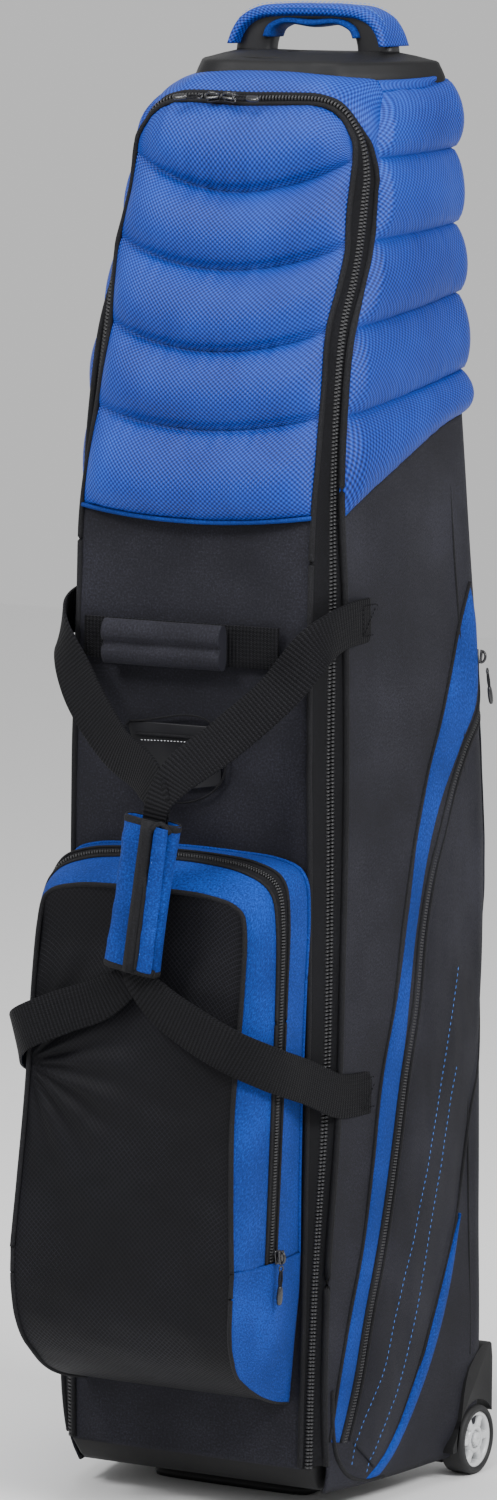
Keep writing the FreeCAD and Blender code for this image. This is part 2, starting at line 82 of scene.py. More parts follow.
def along(points, count, closed=False):
    """The points resampled evenly along a smooth line through them."""
    points = np.array(points, float)
    if closed:
        points = np.vstack([points, points[:1]])
    gaps = np.linalg.norm(np.diff(points, axis=0), axis=1)
    reach = np.concatenate([[0], np.cumsum(gaps)])
    fine = through(reach, points)(np.linspace(0, reach[-1], 40 * len(points)))
    gaps = np.linalg.norm(np.diff(fine, axis=0), axis=1)
    reach = np.concatenate([[0], np.cumsum(gaps)])
    places = np.linspace(0, reach[-1], count + 1)[:-1] if closed else np.linspace(0, reach[-1], count)
    return np.stack([np.interp(places, reach, fine[:, axis]) for axis in range(3)], axis=1)


def mirrored(right):
    """Right half of a loop, from its foot to the middle of its top, continued down the left side."""
    right = np.array(right, float)
    left = right[::-1][1:] * np.array([-1, 1, 1])
    return np.vstack([right, left])


def ripple(points, scale, seed):
    """Smooth noise from -1 to 1 at each point, over a length in millimetres."""
    flat = np.asarray(points, float).reshape(-1, 3) / scale
    shift = Vector((seed * 7.3, seed * 1.9, seed * 4.1))
    values = [noise.noise(Vector(point) + shift) for point in flat]
    return np.array(values).reshape(np.asarray(points).shape[:-1])


def normals_of(surface):
    """Unit normals of a grid of points."""
    down = np.gradient(surface, axis=0)
    over = np.gradient(surface, axis=1)
    normal = np.cross(over, down)
    return normal / np.maximum(np.linalg.norm(normal, axis=-1, keepdims=True), 1e-9)


# ---- pieces ----------------------------------------------------------------------------------------

def place_piece(piece, body, nodes=()):
    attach(piece, body)
    if nodes:
        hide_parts(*nodes)
    return piece


def mesh_piece(name, verts, faces, material, uvs=None):
    """Mesh object from points in millimetres, with fabric coordinates in metres."""
    mesh = bpy.data.meshes.new(name)
    mesh.from_pydata([tuple(np.asarray(point, float) * MM) for point in verts], [], faces)
    if uvs is not None:
        layer = mesh.uv_layers.new(name="cloth")
        for loop in mesh.loops:
            layer.data[loop.index].uv = uvs[loop.vertex_index]
    mesh.validate()
    for polygon in mesh.polygons:
        polygon.use_smooth = True
    piece = bpy.data.objects.new(name, mesh)
    bpy.context.collection.objects.link(piece)
    if material:
        mesh.materials.append(material)
    return piece


def grid_piece(name, surface, material, wrap=False, thick=1.2, outward=1):
    """Sheet through a grid of points; its fabric coordinates follow lengths along the surface."""
    rows, cols = surface.shape[:2]
    over = np.linalg.norm(np.diff(surface, axis=1), axis=2)
    across = np.concatenate([np.zeros((rows, 1)), np.cumsum(over, axis=1)], axis=1)
    across -= across[:, cols // 2][:, None]
    down = np.linalg.norm(np.diff(surface, axis=0), axis=2)
    length = np.concatenate([np.zeros((1, cols)), np.cumsum(down, axis=0)], axis=0)
    length = np.repeat(length.mean(axis=1)[:, None], cols, axis=1)
    uvs = np.stack([across * MM, length * MM], axis=-1).reshape(-1, 2)
    faces = []
    last = cols if wrap else cols - 1
    for row in range(rows - 1):
        for col in range(last):
            step = (col + 1) % cols
            corners = (row * cols + col, row * cols + step, (row + 1) * cols + step, (row + 1) * cols + col)
            faces.append(corners if outward > 0 else corners[::-1])
    piece = mesh_piece(name, surface.reshape(-1, 3), faces, material, uvs)
    if thick:
        shell = piece.modifiers.new("Thickness", "SOLIDIFY")
        shell.thickness = thick * MM
        shell.offset = -1
    return piece


def tube_piece(name, points, radius, material, closed=False, up=(0, 0, 1)):
    """Round cord along points, all in one mesh."""
    sides = 8
    points = np.array(points, float)
    if closed:
        tangent = np.roll(points, -1, axis=0) - np.roll(points, 1, axis=0)
    else:
        tangent = np.gradient(points, axis=0)
    tangent /= np.linalg.norm(tangent, axis=1, keepdims=True)
    side = np.cross(tangent, np.array(up, float))
    weak = np.linalg.norm(side, axis=1) < 0.05
    side[weak] = np.cross(tangent[weak], np.array([0.0, 1.0, 0.2]))
    side /= np.linalg.norm(side, axis=1, keepdims=True)
    lift = np.cross(side, tangent)
    angles = np.linspace(0, 2 * np.pi, sides, endpoint=False)
    rings = (points[:, None] + radius * (np.cos(angles)[None, :, None] * side[:, None]
                                         + np.sin(angles)[None, :, None] * lift[:, None]))
    count = len(points)
    reach = np.concatenate([[0], np.cumsum(np.linalg.norm(np.diff(points, axis=0), axis=1))])
    uvs = [(angle * radius * MM, reach[ring] * MM) for ring in range(count) for angle in angles]
    faces = []
    for ring in range(count if closed else count - 1):
        for spoke in range(sides):
            here, there = ring * sides, ((ring + 1) % count) * sides
            faces.append((here + spoke, here + (spoke + 1) % sides, there + (spoke + 1) % sides,
                          there + spoke))
    if not closed:
        faces.append(tuple(range(sides))[::-1])
        faces.append(tuple((count - 1) * sides + spoke for spoke in range(sides)))
    return mesh_piece(name, rings.reshape(-1, 3), faces, material, uvs)


def ribbon_piece(name, centres, outwards, width, thick, material, count=160, wrinkle=0.0, seed=1,
                 narrow=None):
    """Flat webbing along a smooth line, its outer face turned as told at each station."""
    centres = np.array(centres, float)
    outwards = np.array(outwards, float)
    gaps = np.linalg.norm(np.diff(centres, axis=0), axis=1)
    reach = np.concatenate([[0], np.cumsum(gaps)])
    places = np.linspace(0, reach[-1], count)
    line = through(reach, centres)(places)
    outward = through(reach, outwards)(places)
    tangent = np.gradient(line, axis=0)
    tangent /= np.linalg.norm(tangent, axis=1, keepdims=True)
    across = np.cross(tangent, outward)
    across /= np.linalg.norm(across, axis=1, keepdims=True)
    normal = np.cross(across, tangent)
    half = width / 2
    size = through(reach, narrow)(places) if narrow else np.ones(count)
    profile = [(-half, -0.3), (-half + 0.8, -0.5), (half - 0.8, -0.5), (half, -0.3), (half, 0.3),
               (half - 0.8, 0.5), (half * 0.5, 0.56), (0, 0.6), (-half * 0.5, 0.56), (-half + 0.8, 0.5),
               (-half, 0.3)]
    wave = wrinkle * np.array([noise.noise(Vector((place * 0.03, seed * 5.0, 0.0))) for place in places])
    verts = []
    uvs = []
    for index in range(count):
        for sideways, lift in profile:
            bow = wave[index] * (1 - (sideways / half) ** 2)
            verts.append(line[index] + across[index] * sideways * size[index] + normal[index]
                         * (lift * thick + bow))
            uvs.append((sideways * MM, places[index] * MM))
    step = len(profile)
    faces = []
    for ring in range(count - 1):
        for spoke in range(step):
            here, there = ring * step, (ring + 1) * step
            faces.append((here + spoke, here + (spoke + 1) % step, there + (spoke + 1) % step,
                          there + spoke))
    faces.append(tuple(range(step))[::-1])
    faces.append(tuple((count - 1) * step + spoke for spoke in range(step)))
    return mesh_piece(name, verts, faces, material, uvs)


def block_piece(name, low, high, material, bevel=1.5, segments=3):
    """Block with rounded edges between two corners in millimetres."""
    low, high = np.array(low, float), np.array(high, float)
    corners = [(x, y, z) for z in (0, 1) for y in (0, 1) for x in (0, 1)]
    verts = [low + (high - low) * np.array(corner) for corner in corners]
    faces = [(0, 2, 3, 1), (4, 5, 7, 6), (0, 1, 5, 4), (2, 6, 7, 3), (0, 4, 6, 2), (1, 3, 7, 5)]
    piece = mesh_piece(name, verts, faces, material)
    round_edges(piece, bevel, segments)
    return piece


def round_edges(piece, width, segments=3):
    bevel = piece.modifiers.new("Rounding", "BEVEL")
    bevel.width = width * MM
    bevel.segments = segments
    bevel.limit_method = "ANGLE"
    bevel.angle_limit = math.radians(28)
    bevel.harden_normals = False


def loft_piece(name, sections, material, caps=True, thick=0):
    """Closed outlines of equal length joined into a skin, with its ends filled."""
    surface = np.array(sections, float)
    piece = grid_piece(name, surface, material, wrap=True, thick=thick)
    if caps:
        rows, cols = surface.shape[:2]
        work = bmesh.new()
        work.from_mesh(piece.data)
        work.verts.ensure_lookup_table()
        work.faces.new([work.verts[index] for index in range(cols)][::-1])
        work.faces.new([work.verts[(rows - 1) * cols + index] for index in range(cols)])
        bmesh.ops.recalc_face_normals(work, faces=work.faces)
        work.to_mesh(piece.data)
        work.free()
    return piece


def joined(name, pieces):
    """Several meshes of one material made one object."""
    verts, faces, uvs = [], [], []
    for piece in pieces:
        start = len(verts)
        mesh = piece.data
        verts += [np.array(vertex.co) / MM for vertex in mesh.vertices]
        faces += [tuple(start + index for index in polygon.vertices) for polygon in mesh.polygons]
        spot = [(0.0, 0.0)] * len(mesh.vertices)
        if mesh.uv_layers:
            for loop in mesh.loops:
                spot[loop.vertex_index] = tuple(mesh.uv_layers[0].data[loop.index].uv)
        uvs += spot
    material = pieces[0].data.materials[0]
    for piece in pieces:
        bpy.data.objects.remove(piece)
    return mesh_piece(name, verts, faces, material, uvs)


# ---- materials -------------------------------------------------------------------------------------

SHEEN_ROUGHNESS = 0.4


class Nodes:
    """Short way of writing a material's nodes."""

    def __init__(self, name):
        self.material = bpy.data.materials.new(name)
        self.material.use_nodes = True
        self.tree = self.material.node_tree
        self.shader = self.tree.nodes["Principled BSDF"]
        cloth = self.tree.nodes.new("ShaderNodeUVMap")
        cloth.uv_map = "cloth"
        self.cloth = cloth.outputs["UV"]
        self.object = self.tree.nodes.new("ShaderNodeTexCoord").outputs["Object"]

    def link(self, source, target):
        if hasattr(source, "links"):
            self.tree.links.new(source, target)
        else:
            target.default_value = source

    def math(self, operation, first, second=0.0):
        node = self.tree.nodes.new("ShaderNodeMath")
        node.operation = operation
        self.link(first, node.inputs[0])
        self.link(second, node.inputs[1])
        return node.outputs[0]

    def axes(self, vector):
        node = self.tree.nodes.new("ShaderNodeSeparateXYZ")
        self.link(vector, node.inputs[0])
        return node.outputs

    def noise(self, vector, scale, detail=3.0, rough=0.55):
        node = self.tree.nodes.new("ShaderNodeTexNoise")
        self.link(vector, node.inputs["Vector"])
        node.inputs["Scale"].default_value = scale
        node.inputs["Detail"].default_value = detail
        node.inputs["Roughness"].default_value = rough
        return node.outputs["Fac"]

    def span(self, value, low, high, new_low=0.0, new_high=1.0):
        node = self.tree.nodes.new("ShaderNodeMapRange")
        self.link(value, node.inputs["Value"])
        for key, number in (("From Min", low), ("From Max", high), ("To Min", new_low),
                            ("To Max", new_high)):
            node.inputs[key].default_value = number
        return node.outputs["Result"]

    def ramp(self, value, stops):
        node = self.tree.nodes.new("ShaderNodeValToRGB")
        self.link(value, node.inputs[0])
        elements = node.color_ramp.elements
        while len(elements) < len(stops):
            elements.new(0.5)
        for element, (place, color) in zip(elements, stops):
            element.position = place
            element.color = (*color, 1)
        return node.outputs[0]

    def bump(self, height, distance, strength=1.0):
        node = self.tree.nodes.new("ShaderNodeBump")
        node.inputs["Distance"].default_value = distance
        node.inputs["Strength"].default_value = strength
        self.link(height, node.inputs["Height"])
        return node.outputs["Normal"]

    def finish(self, color, rough, normal=None, sheen=0.0, specular=0.4, metallic=0.0):
        self.link(color, self.shader.inputs["Base Color"])
        self.link(rough, self.shader.inputs["Roughness"])
        if normal is not None:
            self.link(normal, self.shader.inputs["Normal"])
        self.shader.inputs["Sheen Weight"].default_value = sheen
        self.shader.inputs["Sheen Roughness"].default_value = SHEEN_ROUGHNESS
        self.shader.inputs["Specular IOR Level"].default_value = specular
        self.shader.inputs["Metallic"].default_value = metallic
        return self.material


def shade(color, amount):
    return tuple(min(1.0, channel * amount) for channel in color)


BLUE = (0.001, 0.025, 0.26)
# painted highlight colour for the raised honeycomb cells
BLUE_CELL_HIGHLIGHT = (0.008, 0.085, 0.54)
CHARCOAL = (0.0125, 0.0125, 0.0175)
JET = (0.0042, 0.0042, 0.0055)


def honeycomb_fabric(name, color):
    """Woven cloth with a small diamond relief, with painted highlight on the raised cells and painted shade
    between them.
    """
    wide, tall = 0.0046, 0.0042
    n = Nodes(name)
    across, length = n.axes(n.cloth)[0], n.axes(n.cloth)[1]
    first = n.math("SINE", n.math("MULTIPLY", across, 2 * math.pi / wide))
    second = n.math("SINE", n.math("MULTIPLY", length, 2 * math.pi / tall))
    cells = n.math("MULTIPLY", first, second)
    threads = n.noise(n.cloth, 1500.0, 2.0)
    broad = n.noise(n.object, 9.0, 3.0)
    height = n.math("ADD", n.math("MULTIPLY", cells, 0.8), n.math("MULTIPLY", threads, 0.35))
    # the cell pattern paints highlight on the raised cells and shade in the hollows; the broad noise and the
    # threads add random tone
    tone = n.math("ADD", n.math("MULTIPLY", cells, 0.46), n.span(broad, 0.3, 0.7, 0.34, 0.6))
    tone = n.math("ADD", tone, n.span(threads, 0.2, 0.8, -0.1, 0.1))
    tint = n.ramp(tone, ((0.0, shade(color, 0.2)), (0.45, color), (1.0, BLUE_CELL_HIGHLIGHT)))
    normal = n.bump(height, 0.0005, 0.6)
    return n.finish(tint, n.span(threads, 0.2, 0.8, 0.42, 0.58), normal, sheen=0.02, specular=0.3)


def plain_fabric(name, color, thread=0.0011, contrast=1.0):
    """Plain woven cloth with uneven threads."""
    n = Nodes(name)
    across, length = n.axes(n.cloth)[0], n.axes(n.cloth)[1]
    turn = 2 * math.pi / thread
    warp = n.math("SINE", n.math("MULTIPLY", across, turn))
    weft = n.math("SINE", n.math("MULTIPLY", length, turn))
    weave = n.math("MULTIPLY", warp, weft)
    speckle = n.noise(n.cloth, 520.0, 4.0, 0.75)
    broad = n.noise(n.object, 12.0, 4.0)
    tone = n.math("ADD", n.math("MULTIPLY", weave, 0.1 * contrast), n.span(speckle, 0.25, 0.75, 0.12, 0.88))
    tone = n.math("ADD", tone, n.span(broad, 0.3, 0.7, -0.12, 0.12))
    tint = n.ramp(tone, ((0.0, shade(color, 0.2)), (0.5, color), (1.0, shade(color, 3.2))))
    normal = n.bump(n.math("ADD", weave, n.math("MULTIPLY", speckle, 1.2)), 0.0003, 0.5)
    return n.finish(tint, n.span(speckle, 0.2, 0.8, 0.6, 0.78), normal, sheen=0.02, specular=0.16)


def ripstop_fabric(name, color):
    """Thin dark cloth with a raised net of diagonal threads."""
    cell = 0.0048
    n = Nodes(name)
    across, length = n.axes(n.cloth)[0], n.axes(n.cloth)[1]
    turn = math.pi / cell
    first = n.math("ABSOLUTE", n.math("SINE", n.math("MULTIPLY", n.math("ADD", across, length), turn)))
    second = n.math("ABSOLUTE", n.math("SINE", n.math("MULTIPLY", n.math("SUBTRACT", across, length),
                                                      turn)))
    net = n.math("POWER", n.math("SUBTRACT", 1.0, n.math("MINIMUM", first, second)), 3.0)
    speckle = n.noise(n.cloth, 1300.0, 3.0, 0.6)
    broad = n.noise(n.object, 10.0, 3.0)
    tone = n.math("ADD", n.math("MULTIPLY", net, 0.32), n.span(speckle, 0.2, 0.8, 0.1, 0.6))
    tone = n.math("ADD", tone, n.span(broad, 0.3, 0.7, -0.1, 0.1))
    tint = n.ramp(tone, ((0.0, shade(color, 0.5)), (0.45, color), (1.0, shade(color, 6.0))))
    normal = n.bump(n.math("ADD", net, n.math("MULTIPLY", speckle, 0.5)), 0.00035, 0.5)
    return n.finish(tint, n.span(net, 0.0, 1.0, 0.62, 0.5), normal, sheen=0.01, specular=0.14)


def webbing_fabric(name, color, pitch=0.0034):
    """Ribbed webbing: rows of slanting stitches along its length."""
    row_width = 0.0034
    n = Nodes(name)
    across, length = n.axes(n.cloth)[0], n.axes(n.cloth)[1]
    row = n.math("SINE", n.math("MULTIPLY", across, 2 * math.pi / row_width))
    slant = n.math("ADD", length, n.math("MULTIPLY", n.math("ABSOLUTE", row), 0.0011))
    ribs = n.math("SINE", n.math("MULTIPLY", slant, 2 * math.pi / pitch))
    speckle = n.noise(n.cloth, 1100.0, 3.0)
    tone = n.math("ADD", n.math("MULTIPLY", ribs, 0.2), n.span(speckle, 0.2, 0.8, 0.15, 0.75))
    tint = n.ramp(tone, ((0.0, shade(color, 0.3)), (0.5, color), (1.0, shade(color, 3.4))))
    height = n.math("ADD", ribs, n.math("MULTIPLY", row, 0.5))
    return n.finish(tint, n.span(ribs, -1.0, 1.0, 0.75, 0.55), n.bump(height, 0.0005, 0.7), sheen=0.01,
                    specular=0.12)


def moulded_plastic(name, color, rough=0.5, grain=0.00018, specular=0.45):
    """Moulded plastic with a fine spark-eroded grain and slightly rubbed high spots."""
    n = Nodes(name)
    fine = n.noise(n.object, 1600.0, 2.0)
    cloud = n.noise(n.object, 14.0, 4.0)
    tint = n.ramp(n.math("ADD", n.span(cloud, 0.3, 0.7, 0.3, 0.6), n.span(fine, 0.3, 0.7, -0.1, 0.1)),
                  ((0.0, shade(color, 0.78)), (0.5, color), (1.0, shade(color, 1.35))))
    return n.finish(tint, n.span(cloud, 0.3, 0.7, rough - 0.07, rough + 0.09), n.bump(fine, grain, 0.6),
                    specular=specular)


def bright_metal(name, color):
    rough = 0.3
    n = Nodes(name)
    brushed = n.noise(n.object, 900.0, 3.0)
    tint = n.ramp(brushed, ((0.2, shade(color, 0.85)), (0.8, color)))
    return n.finish(tint, n.span(brushed, 0.2, 0.8, rough - 0.08, rough + 0.12),
                    n.bump(brushed, 0.00005, 0.4),
                    metallic=1.0)


def foam_material(name, color):
    n = Nodes(name)
    cells = n.tree.nodes.new("ShaderNodeTexVoronoi")
    n.link(n.object, cells.inputs["Vector"])
    cells.inputs["Scale"].default_value = 520.0
    gap = cells.outputs["Distance"]
    tint = n.ramp(gap, ((0.0, shade(color, 0.6)), (0.6, color), (1.0, shade(color, 1.4))))
    return n.finish(tint, n.span(gap, 0.0, 1.0, 0.9, 0.8), n.bump(gap, 0.0004, 0.6), specular=0.2)


def thread_material(name, color):
    """Sewing thread: twisted strands, a little shiny."""
    n = Nodes(name)
    twist = n.noise(n.object, 2500.0, 2.0)
    tint = n.ramp(twist, ((0.2, shade(color, 0.7)), (0.8, shade(color, 1.2))))
    return n.finish(tint, n.span(twist, 0.2, 0.8, 0.45, 0.6), n.bump(twist, 0.0001, 0.5), sheen=0.2)


blue_cloth = honeycomb_fabric("blue_honeycomb", BLUE)
blue_smooth = plain_fabric("blue_satin", (0.003, 0.031, 0.205), 0.0011, 0.8)
black_cloth = plain_fabric("charcoal_polyester", CHARCOAL)
dark_cloth = ripstop_fabric("dark_ripstop", (0.0032, 0.0032, 0.0045))
webbing = webbing_fabric("black_webbing", (0.0042, 0.0042, 0.0054))
tape_cloth = plain_fabric("zip_tape_weave", JET, 0.0008, 1.2)
piping_cloth = plain_fabric("black_piping_cloth", (0.008, 0.008, 0.0095), 0.0008, 1.0)
coil_plastic = moulded_plastic("black_coil", (0.02, 0.02, 0.022), 0.42)
cap_plastic = moulded_plastic("grey_abs", (0.0075, 0.0076, 0.0084), 0.52, 0.00025, 0.22)
base_plastic = moulded_plastic("black_plastic", (0.0055, 0.0055, 0.0062), 0.52, 0.00018, 0.25)
handle_plastic = moulded_plastic("handle_plastic", (0.014, 0.014, 0.016), 0.4)
tyre_rubber = moulded_plastic("urethane_tyre", (0.010, 0.010, 0.011), 0.62)
rim_plastic = moulded_plastic("silver_rim", (0.62, 0.63, 0.64), 0.3, 0.0001, 0.6)
steel = bright_metal("plain_steel", (0.60, 0.60, 0.62))
slider_metal = moulded_plastic("black_lacquer", (0.016, 0.016, 0.018), 0.24, 0.00005, 0.6)
cord_cloth = webbing_fabric("pull_cord", (0.014, 0.014, 0.016), 0.0016)
vinyl = moulded_plastic("window_vinyl", (0.007, 0.007, 0.009), 0.42, 0.00004, 0.3)
foam = foam_material("grey_foam", (0.09, 0.09, 0.095))
white_thread = thread_material("white_thread", (0.72, 0.73, 0.76))
blue_thread = thread_material("blue_thread", (0.06, 0.22, 0.72))


# ---- the body of the case: lines that everything is measured from -----------------------------------

seam_line = through([20, 48, 193, 364, 450, 657, 795, 880, 951, 1023, 1062, 1088, 1113, 1135, 1152,
                     1167, 1180, 1195, 1205, 1215, 1222, 1232], [
    (127, -50), (129, -57), (131, -62), (132, -46), (132, -43), (131, -37), (128.5, -37), (126, -39.5),
    (124.5, -33), (123.2, -17), (122.4, 2), (121.8, 13), (120.8, 21.5), (119.6, 27), (118.3, 30.3),
    (117, 33), (115, 36), (112, 44.5), (108.7, 53), (104.8, 62), (102, 68), (98, 74)])
back_half = through([20, 48, 250, 423, 600, 725, 800, 880, 952, 1013, 1074, 1143, 1222],
                    [158, 160, 160.5, 158, 156, 152.5, 146, 139, 133, 128.5, 125.5, 122.5, 119.5])
panel_edge = through([48, 193, 364, 455, 570, 664, 795, 866, 951, 1023, 1062, 1088, 1113, 1135, 1152,
                      1166, 1190, 1212], [
    (113.7, -75), (115.5, -74.5), (116.5, -74), (117.5, -74), (117, -74), (116, -74), (114, -71),
    (113.6, -67), (110.8, -48), (107.5, -31), (111, -18.5), (113, -11), (110, -4), (108, 3), (108, 7),
    (108.2, 10), (108.2, 13.5), (108.2, 16.5)])
TOP_ACROSS = [0, 30, 60, 73.5, 84.3, 94, 101.5, 106.8, 108.2]
TOP_LEVELS = [1209.5, 1210.5, 1211.5, 1210.5, 1207, 1200, 1190, 1180, 1166]

LOOP_FOOT = 46
EDGE_LOOP = mirrored([(113.5, -75, LOOP_FOOT), (115.5, -74.5, 193), (116.5, -74, 364),
                      (117.5, -74, 455), (117, -74, 570), (116, -74, 664), (114, -71, 795),
                      (113.6, -67, 866), (110.8, -48, 951), (107.5, -31, 1023), (111, -18.5, 1062),
                      (113, -11, 1088), (110, -4, 1113), (108, 3, 1135), (108, 7, 1152),
                      (108.2, 10, 1166), (106.8, 12, 1180), (101.5, 13.5, 1190), (94, 14.7, 1200),
                      (84.3, 15.7, 1207), (73.5, 16.2, 1210.5), (60, 16.5, 1211.5), (30, 16.5, 1210.5),
                      (0, 16.3, 1209.5)])
COIL_LOOP = mirrored([(119, -71, LOOP_FOOT), (121.5, -67.5, 193), (124, -55, 364), (124.5, -52, 455),
                      (123.5, -50, 570), (122, -48.5, 664), (120.5, -43.5, 795), (119, -41.5, 866),
                      (117.5, -35, 951), (116.5, -22, 1023), (118.5, -9, 1062), (119, -1, 1088),
                      (117.5, 8, 1113), (116, 15, 1135), (115, 19, 1152), (112.5, 20, 1170),
                      (108.5, 20.5, 1184), (102, 20, 1195), (94.5, 19.5, 1205), (84.5, 19.5, 1211.5),
                      (73.5, 19.5, 1215), (60, 19.5, 1216.5), (30, 19.5, 1216.5), (0, 19.5, 1215.5)])
SEAM_LOOP = mirrored([(128, -55, LOOP_FOOT), (131, -62, 193), (132, -46, 364), (132, -43, 455),
                      (132, -40, 570), (131, -37.5, 664), (128.5, -37.5, 795), (126.5, -39.5, 866),
                      (124.5, -33, 951), (123.2, -17, 1023), (122.4, 2, 1062), (121.8, 13, 1088),
                      (120.8, 21.5, 1113), (119.6, 27, 1135), (118.3, 30.3, 1152), (111.8, 30, 1176),
                      (105.6, 28, 1187), (99, 25, 1197), (92, 23.5, 1206), (84, 22.7, 1212.5),
                      (73, 22.3, 1216), (60, 22, 1218), (30, 22, 1218), (0, 22, 1217.5)])


def evened(loop, count):
    """Loop resampled so that the same step number means the same control point on every loop."""
    steps = np.arange(len(loop))
    return through(steps, loop)(np.linspace(0, len(loop) - 1, count))


CORNER = 22.0
PLACES = np.linspace(0, 1, 201)


@lru_cache(maxsize=None)
def wall_curve(level):
    """Outer skin of the right half at one height, from the front seam to the middle of the back."""
    seam_x, seam_y = seam_line(level)
    half = float(back_half(level))
    tuck = 5 * (max(0.0, 48 - level) / 28) ** 2
    front = np.array([seam_x, seam_y])
    corner = np.array([half, BACK])
    to_front = (front - corner) / np.linalg.norm(front - corner)
    start = corner + to_front * CORNER
    end = corner + np.array([-CORNER, 0])
    outward = np.array([start[1] - front[1], front[0] - start[0]])
    outward /= np.linalg.norm(outward)
    spots = []
    for place in PLACES:
        if place < 0.6:
            part = place / 0.6
            spot = front + (start - front) * part + outward * 4.0 * math.sin(math.pi * part)
        elif place < 0.72:
            part = (place - 0.6) / 0.12
            spot = start * (1 - part) ** 2 + corner * 2 * part * (1 - part) + end * part ** 2
        else:
            part = (place - 0.72) / 0.28
            bow = 3.0 * math.sin(math.pi * part / 2) ** 2
            spot = end + (np.array([0, BACK]) - end) * part + np.array([0, bow])
        spots.append(spot - np.array([tuck if place < 0.72 else tuck * (1 - (place - 0.72) / 0.28), 0]))
    return np.array(spots)


def wall_point(level, place, side):
    """Point of the case's outer skin: place runs 0 at the front seam, 1 at the middle of the back."""
    curve = wall_curve(round(level * 2) / 2)
    x, y = (np.interp(place, PLACES, curve[:, axis]) for axis in (0, 1))
    return np.array([side * x, y, level])


def side_spot(reach, level, side, lift=0.0):
    """Point of a side wall at a distance towards the back, raised outward by the lift."""
    curve = wall_curve(round(level * 2) / 2)[:142]
    x = np.interp(reach, curve[:, 1], curve[:, 0])
    before, after = (np.interp(reach + step, curve[:, 1], curve[:, 0]) for step in (-2, 2))
    normal = np.array([4.0, before - after]) / math.hypot(4.0, before - after)
    return np.array([side * (x + normal[0] * lift), reach + normal[1] * lift, level])


def wall_grid(levels, places, side):
    return np.array([[wall_point(level, place, side) for place in places] for level in levels])


SKIN_JOIN = 0.66


def hood_foot(back):
    """Height at which the blue hood starts, for a distance towards the back."""
    return float(through([-45, -23, 15, 56, 110, 172], [862, 874, 893, 911, 932, 946])(back))


HOOD_SEAMS = [(954, 28, -7, 190), (1027, 21, 5, 166), (1098, 9, 22, 144), (1167, 5, 31, 128)]


def rim_level(back):
    """Height of the hood's top seam, rising a little towards the back."""
    return float(np.interp(back, [60, 110, 160], [1221, 1223, 1229]))


def hood_levels(back):
    """Heights of the hood's channel seams at a distance towards the back."""
    seams = [low + rise * (min(back, 160) - front) / run for low, rise, front, run in HOOD_SEAMS]
    return [hood_foot(back)] + seams + [rim_level(back)]


def puff(part):
    """Profile of a stuffed channel from its upper seam to its lower one, fullest below the middle."""
    skew, flat = 1.25, 0.55
    part = np.clip(part, 0, 1) ** skew
    return np.clip(4 * part * (1 - part), 0, 1) ** flat


def hood_level(channel, place, side):
    """Height of one seam where it crosses a line that runs up the hood."""
    level = 1000.0
    for _ in range(6):
        level = hood_levels(wall_point(level, place, side)[1])[channel]
    return level


def make_side_wall(side, word):
    places = np.linspace(0, SKIN_JOIN, 70)
    rows = 150
    surface = np.zeros((rows, len(places), 3))
    for col, place in enumerate(places):
        reach = wall_point(600, place, side)[1]
        top = hood_foot(reach)
        for row in range(rows):
            level = 20 + (top - 20) * row / (rows - 1)
            surface[row, col] = wall_point(level, place, side)
    normal = normals_of(surface)
    if normal[rows // 2, 20, 0] * side < 0:
        normal = -normal
    soft = 1.6 * ripple(surface, 120, 1) + 0.7 * ripple(surface * np.array([1, 1, 0.45]), 40, 2)
    edge = np.minimum(1, np.minimum(np.arange(len(places)), np.arange(len(places))[::-1]) / 8)[None, :]
    surface = surface + normal * (soft * edge)[..., None]
    piece = grid_piece("side_wall_" + word, surface, black_cloth, thick=2.0, outward=-side)
    return place_piece(piece, "case", ["side_panel_" + word])


def make_back_wall():
    places = np.linspace(SKIN_JOIN, 1, 40)
    levels = np.linspace(112, 946, 130)
    right = wall_grid(levels, places, 1)
    left = wall_grid(levels, places[::-1], -1)[:, 1:]
    surface = np.concatenate([right, left], axis=1)
    surface[..., 1] += 1.3 * ripple(surface, 90, 3) + 0.6 * ripple(surface, 30, 4) - 1.0
    piece = grid_piece("back_wall", surface, black_cloth, thick=2.0, outward=-1)
    return place_piece(piece, "case", ["back_panel"])


def make_hood():
    """Five stuffed channels that wrap round the sides and back of the upper case."""
    places = np.concatenate([np.linspace(0, 1, 110), np.linspace(1, 0, 110)[1:]])
    sides = np.concatenate([np.ones(110), -np.ones(109)])
    steps = 16
    rows = 5 * steps + 1
    surface = np.zeros((rows, len(places), 3))
    lift = np.zeros((rows, len(places)))
    near = np.zeros((rows, len(places)))
    for col, (place, side) in enumerate(zip(places, sides)):
        levels = [hood_level(channel, place, side) for channel in range(6)]
        for row in range(rows):
            channel = min(row // steps, 4)
            part = (row - channel * steps) / steps
            level = levels[channel] + (levels[channel + 1] - levels[channel]) * part
            surface[row, col] = wall_point(level, place, side)
            lift[row, col] = float(puff(1 - part))
            near[row, col] = min(part, 1 - part)
    normal = normals_of(surface)
    if normal[rows // 2, 10, 0] < 0:
        normal = -normal
    fade = np.clip(np.minimum(places, 1) / 0.05, 0, 1)[None, :] ** 0.6
    pucker = ripple(surface * np.array([1, 1, 0.25]), 9, 5) * np.exp(-near / 0.16)
    swell = 12.0 * lift * fade * (1 + 0.12 * ripple(surface, 60, 6)) - 2.0 + 1.6 * pucker * fade
    surface = surface + normal * swell[..., None]
    piece = grid_piece("hood", surface, blue_cloth, thick=3.0, outward=-1)
    place_piece(piece, "case", ["hood_shell"])


CAP_HALF = [(0, 42), (28, 42.3), (55, 44), (70, 52), (80, 65), (91, 82), (104, 106), (114, 134),
            (117, 154), (109, 166), (90, 168.5), (45, 169), (0, 169)]


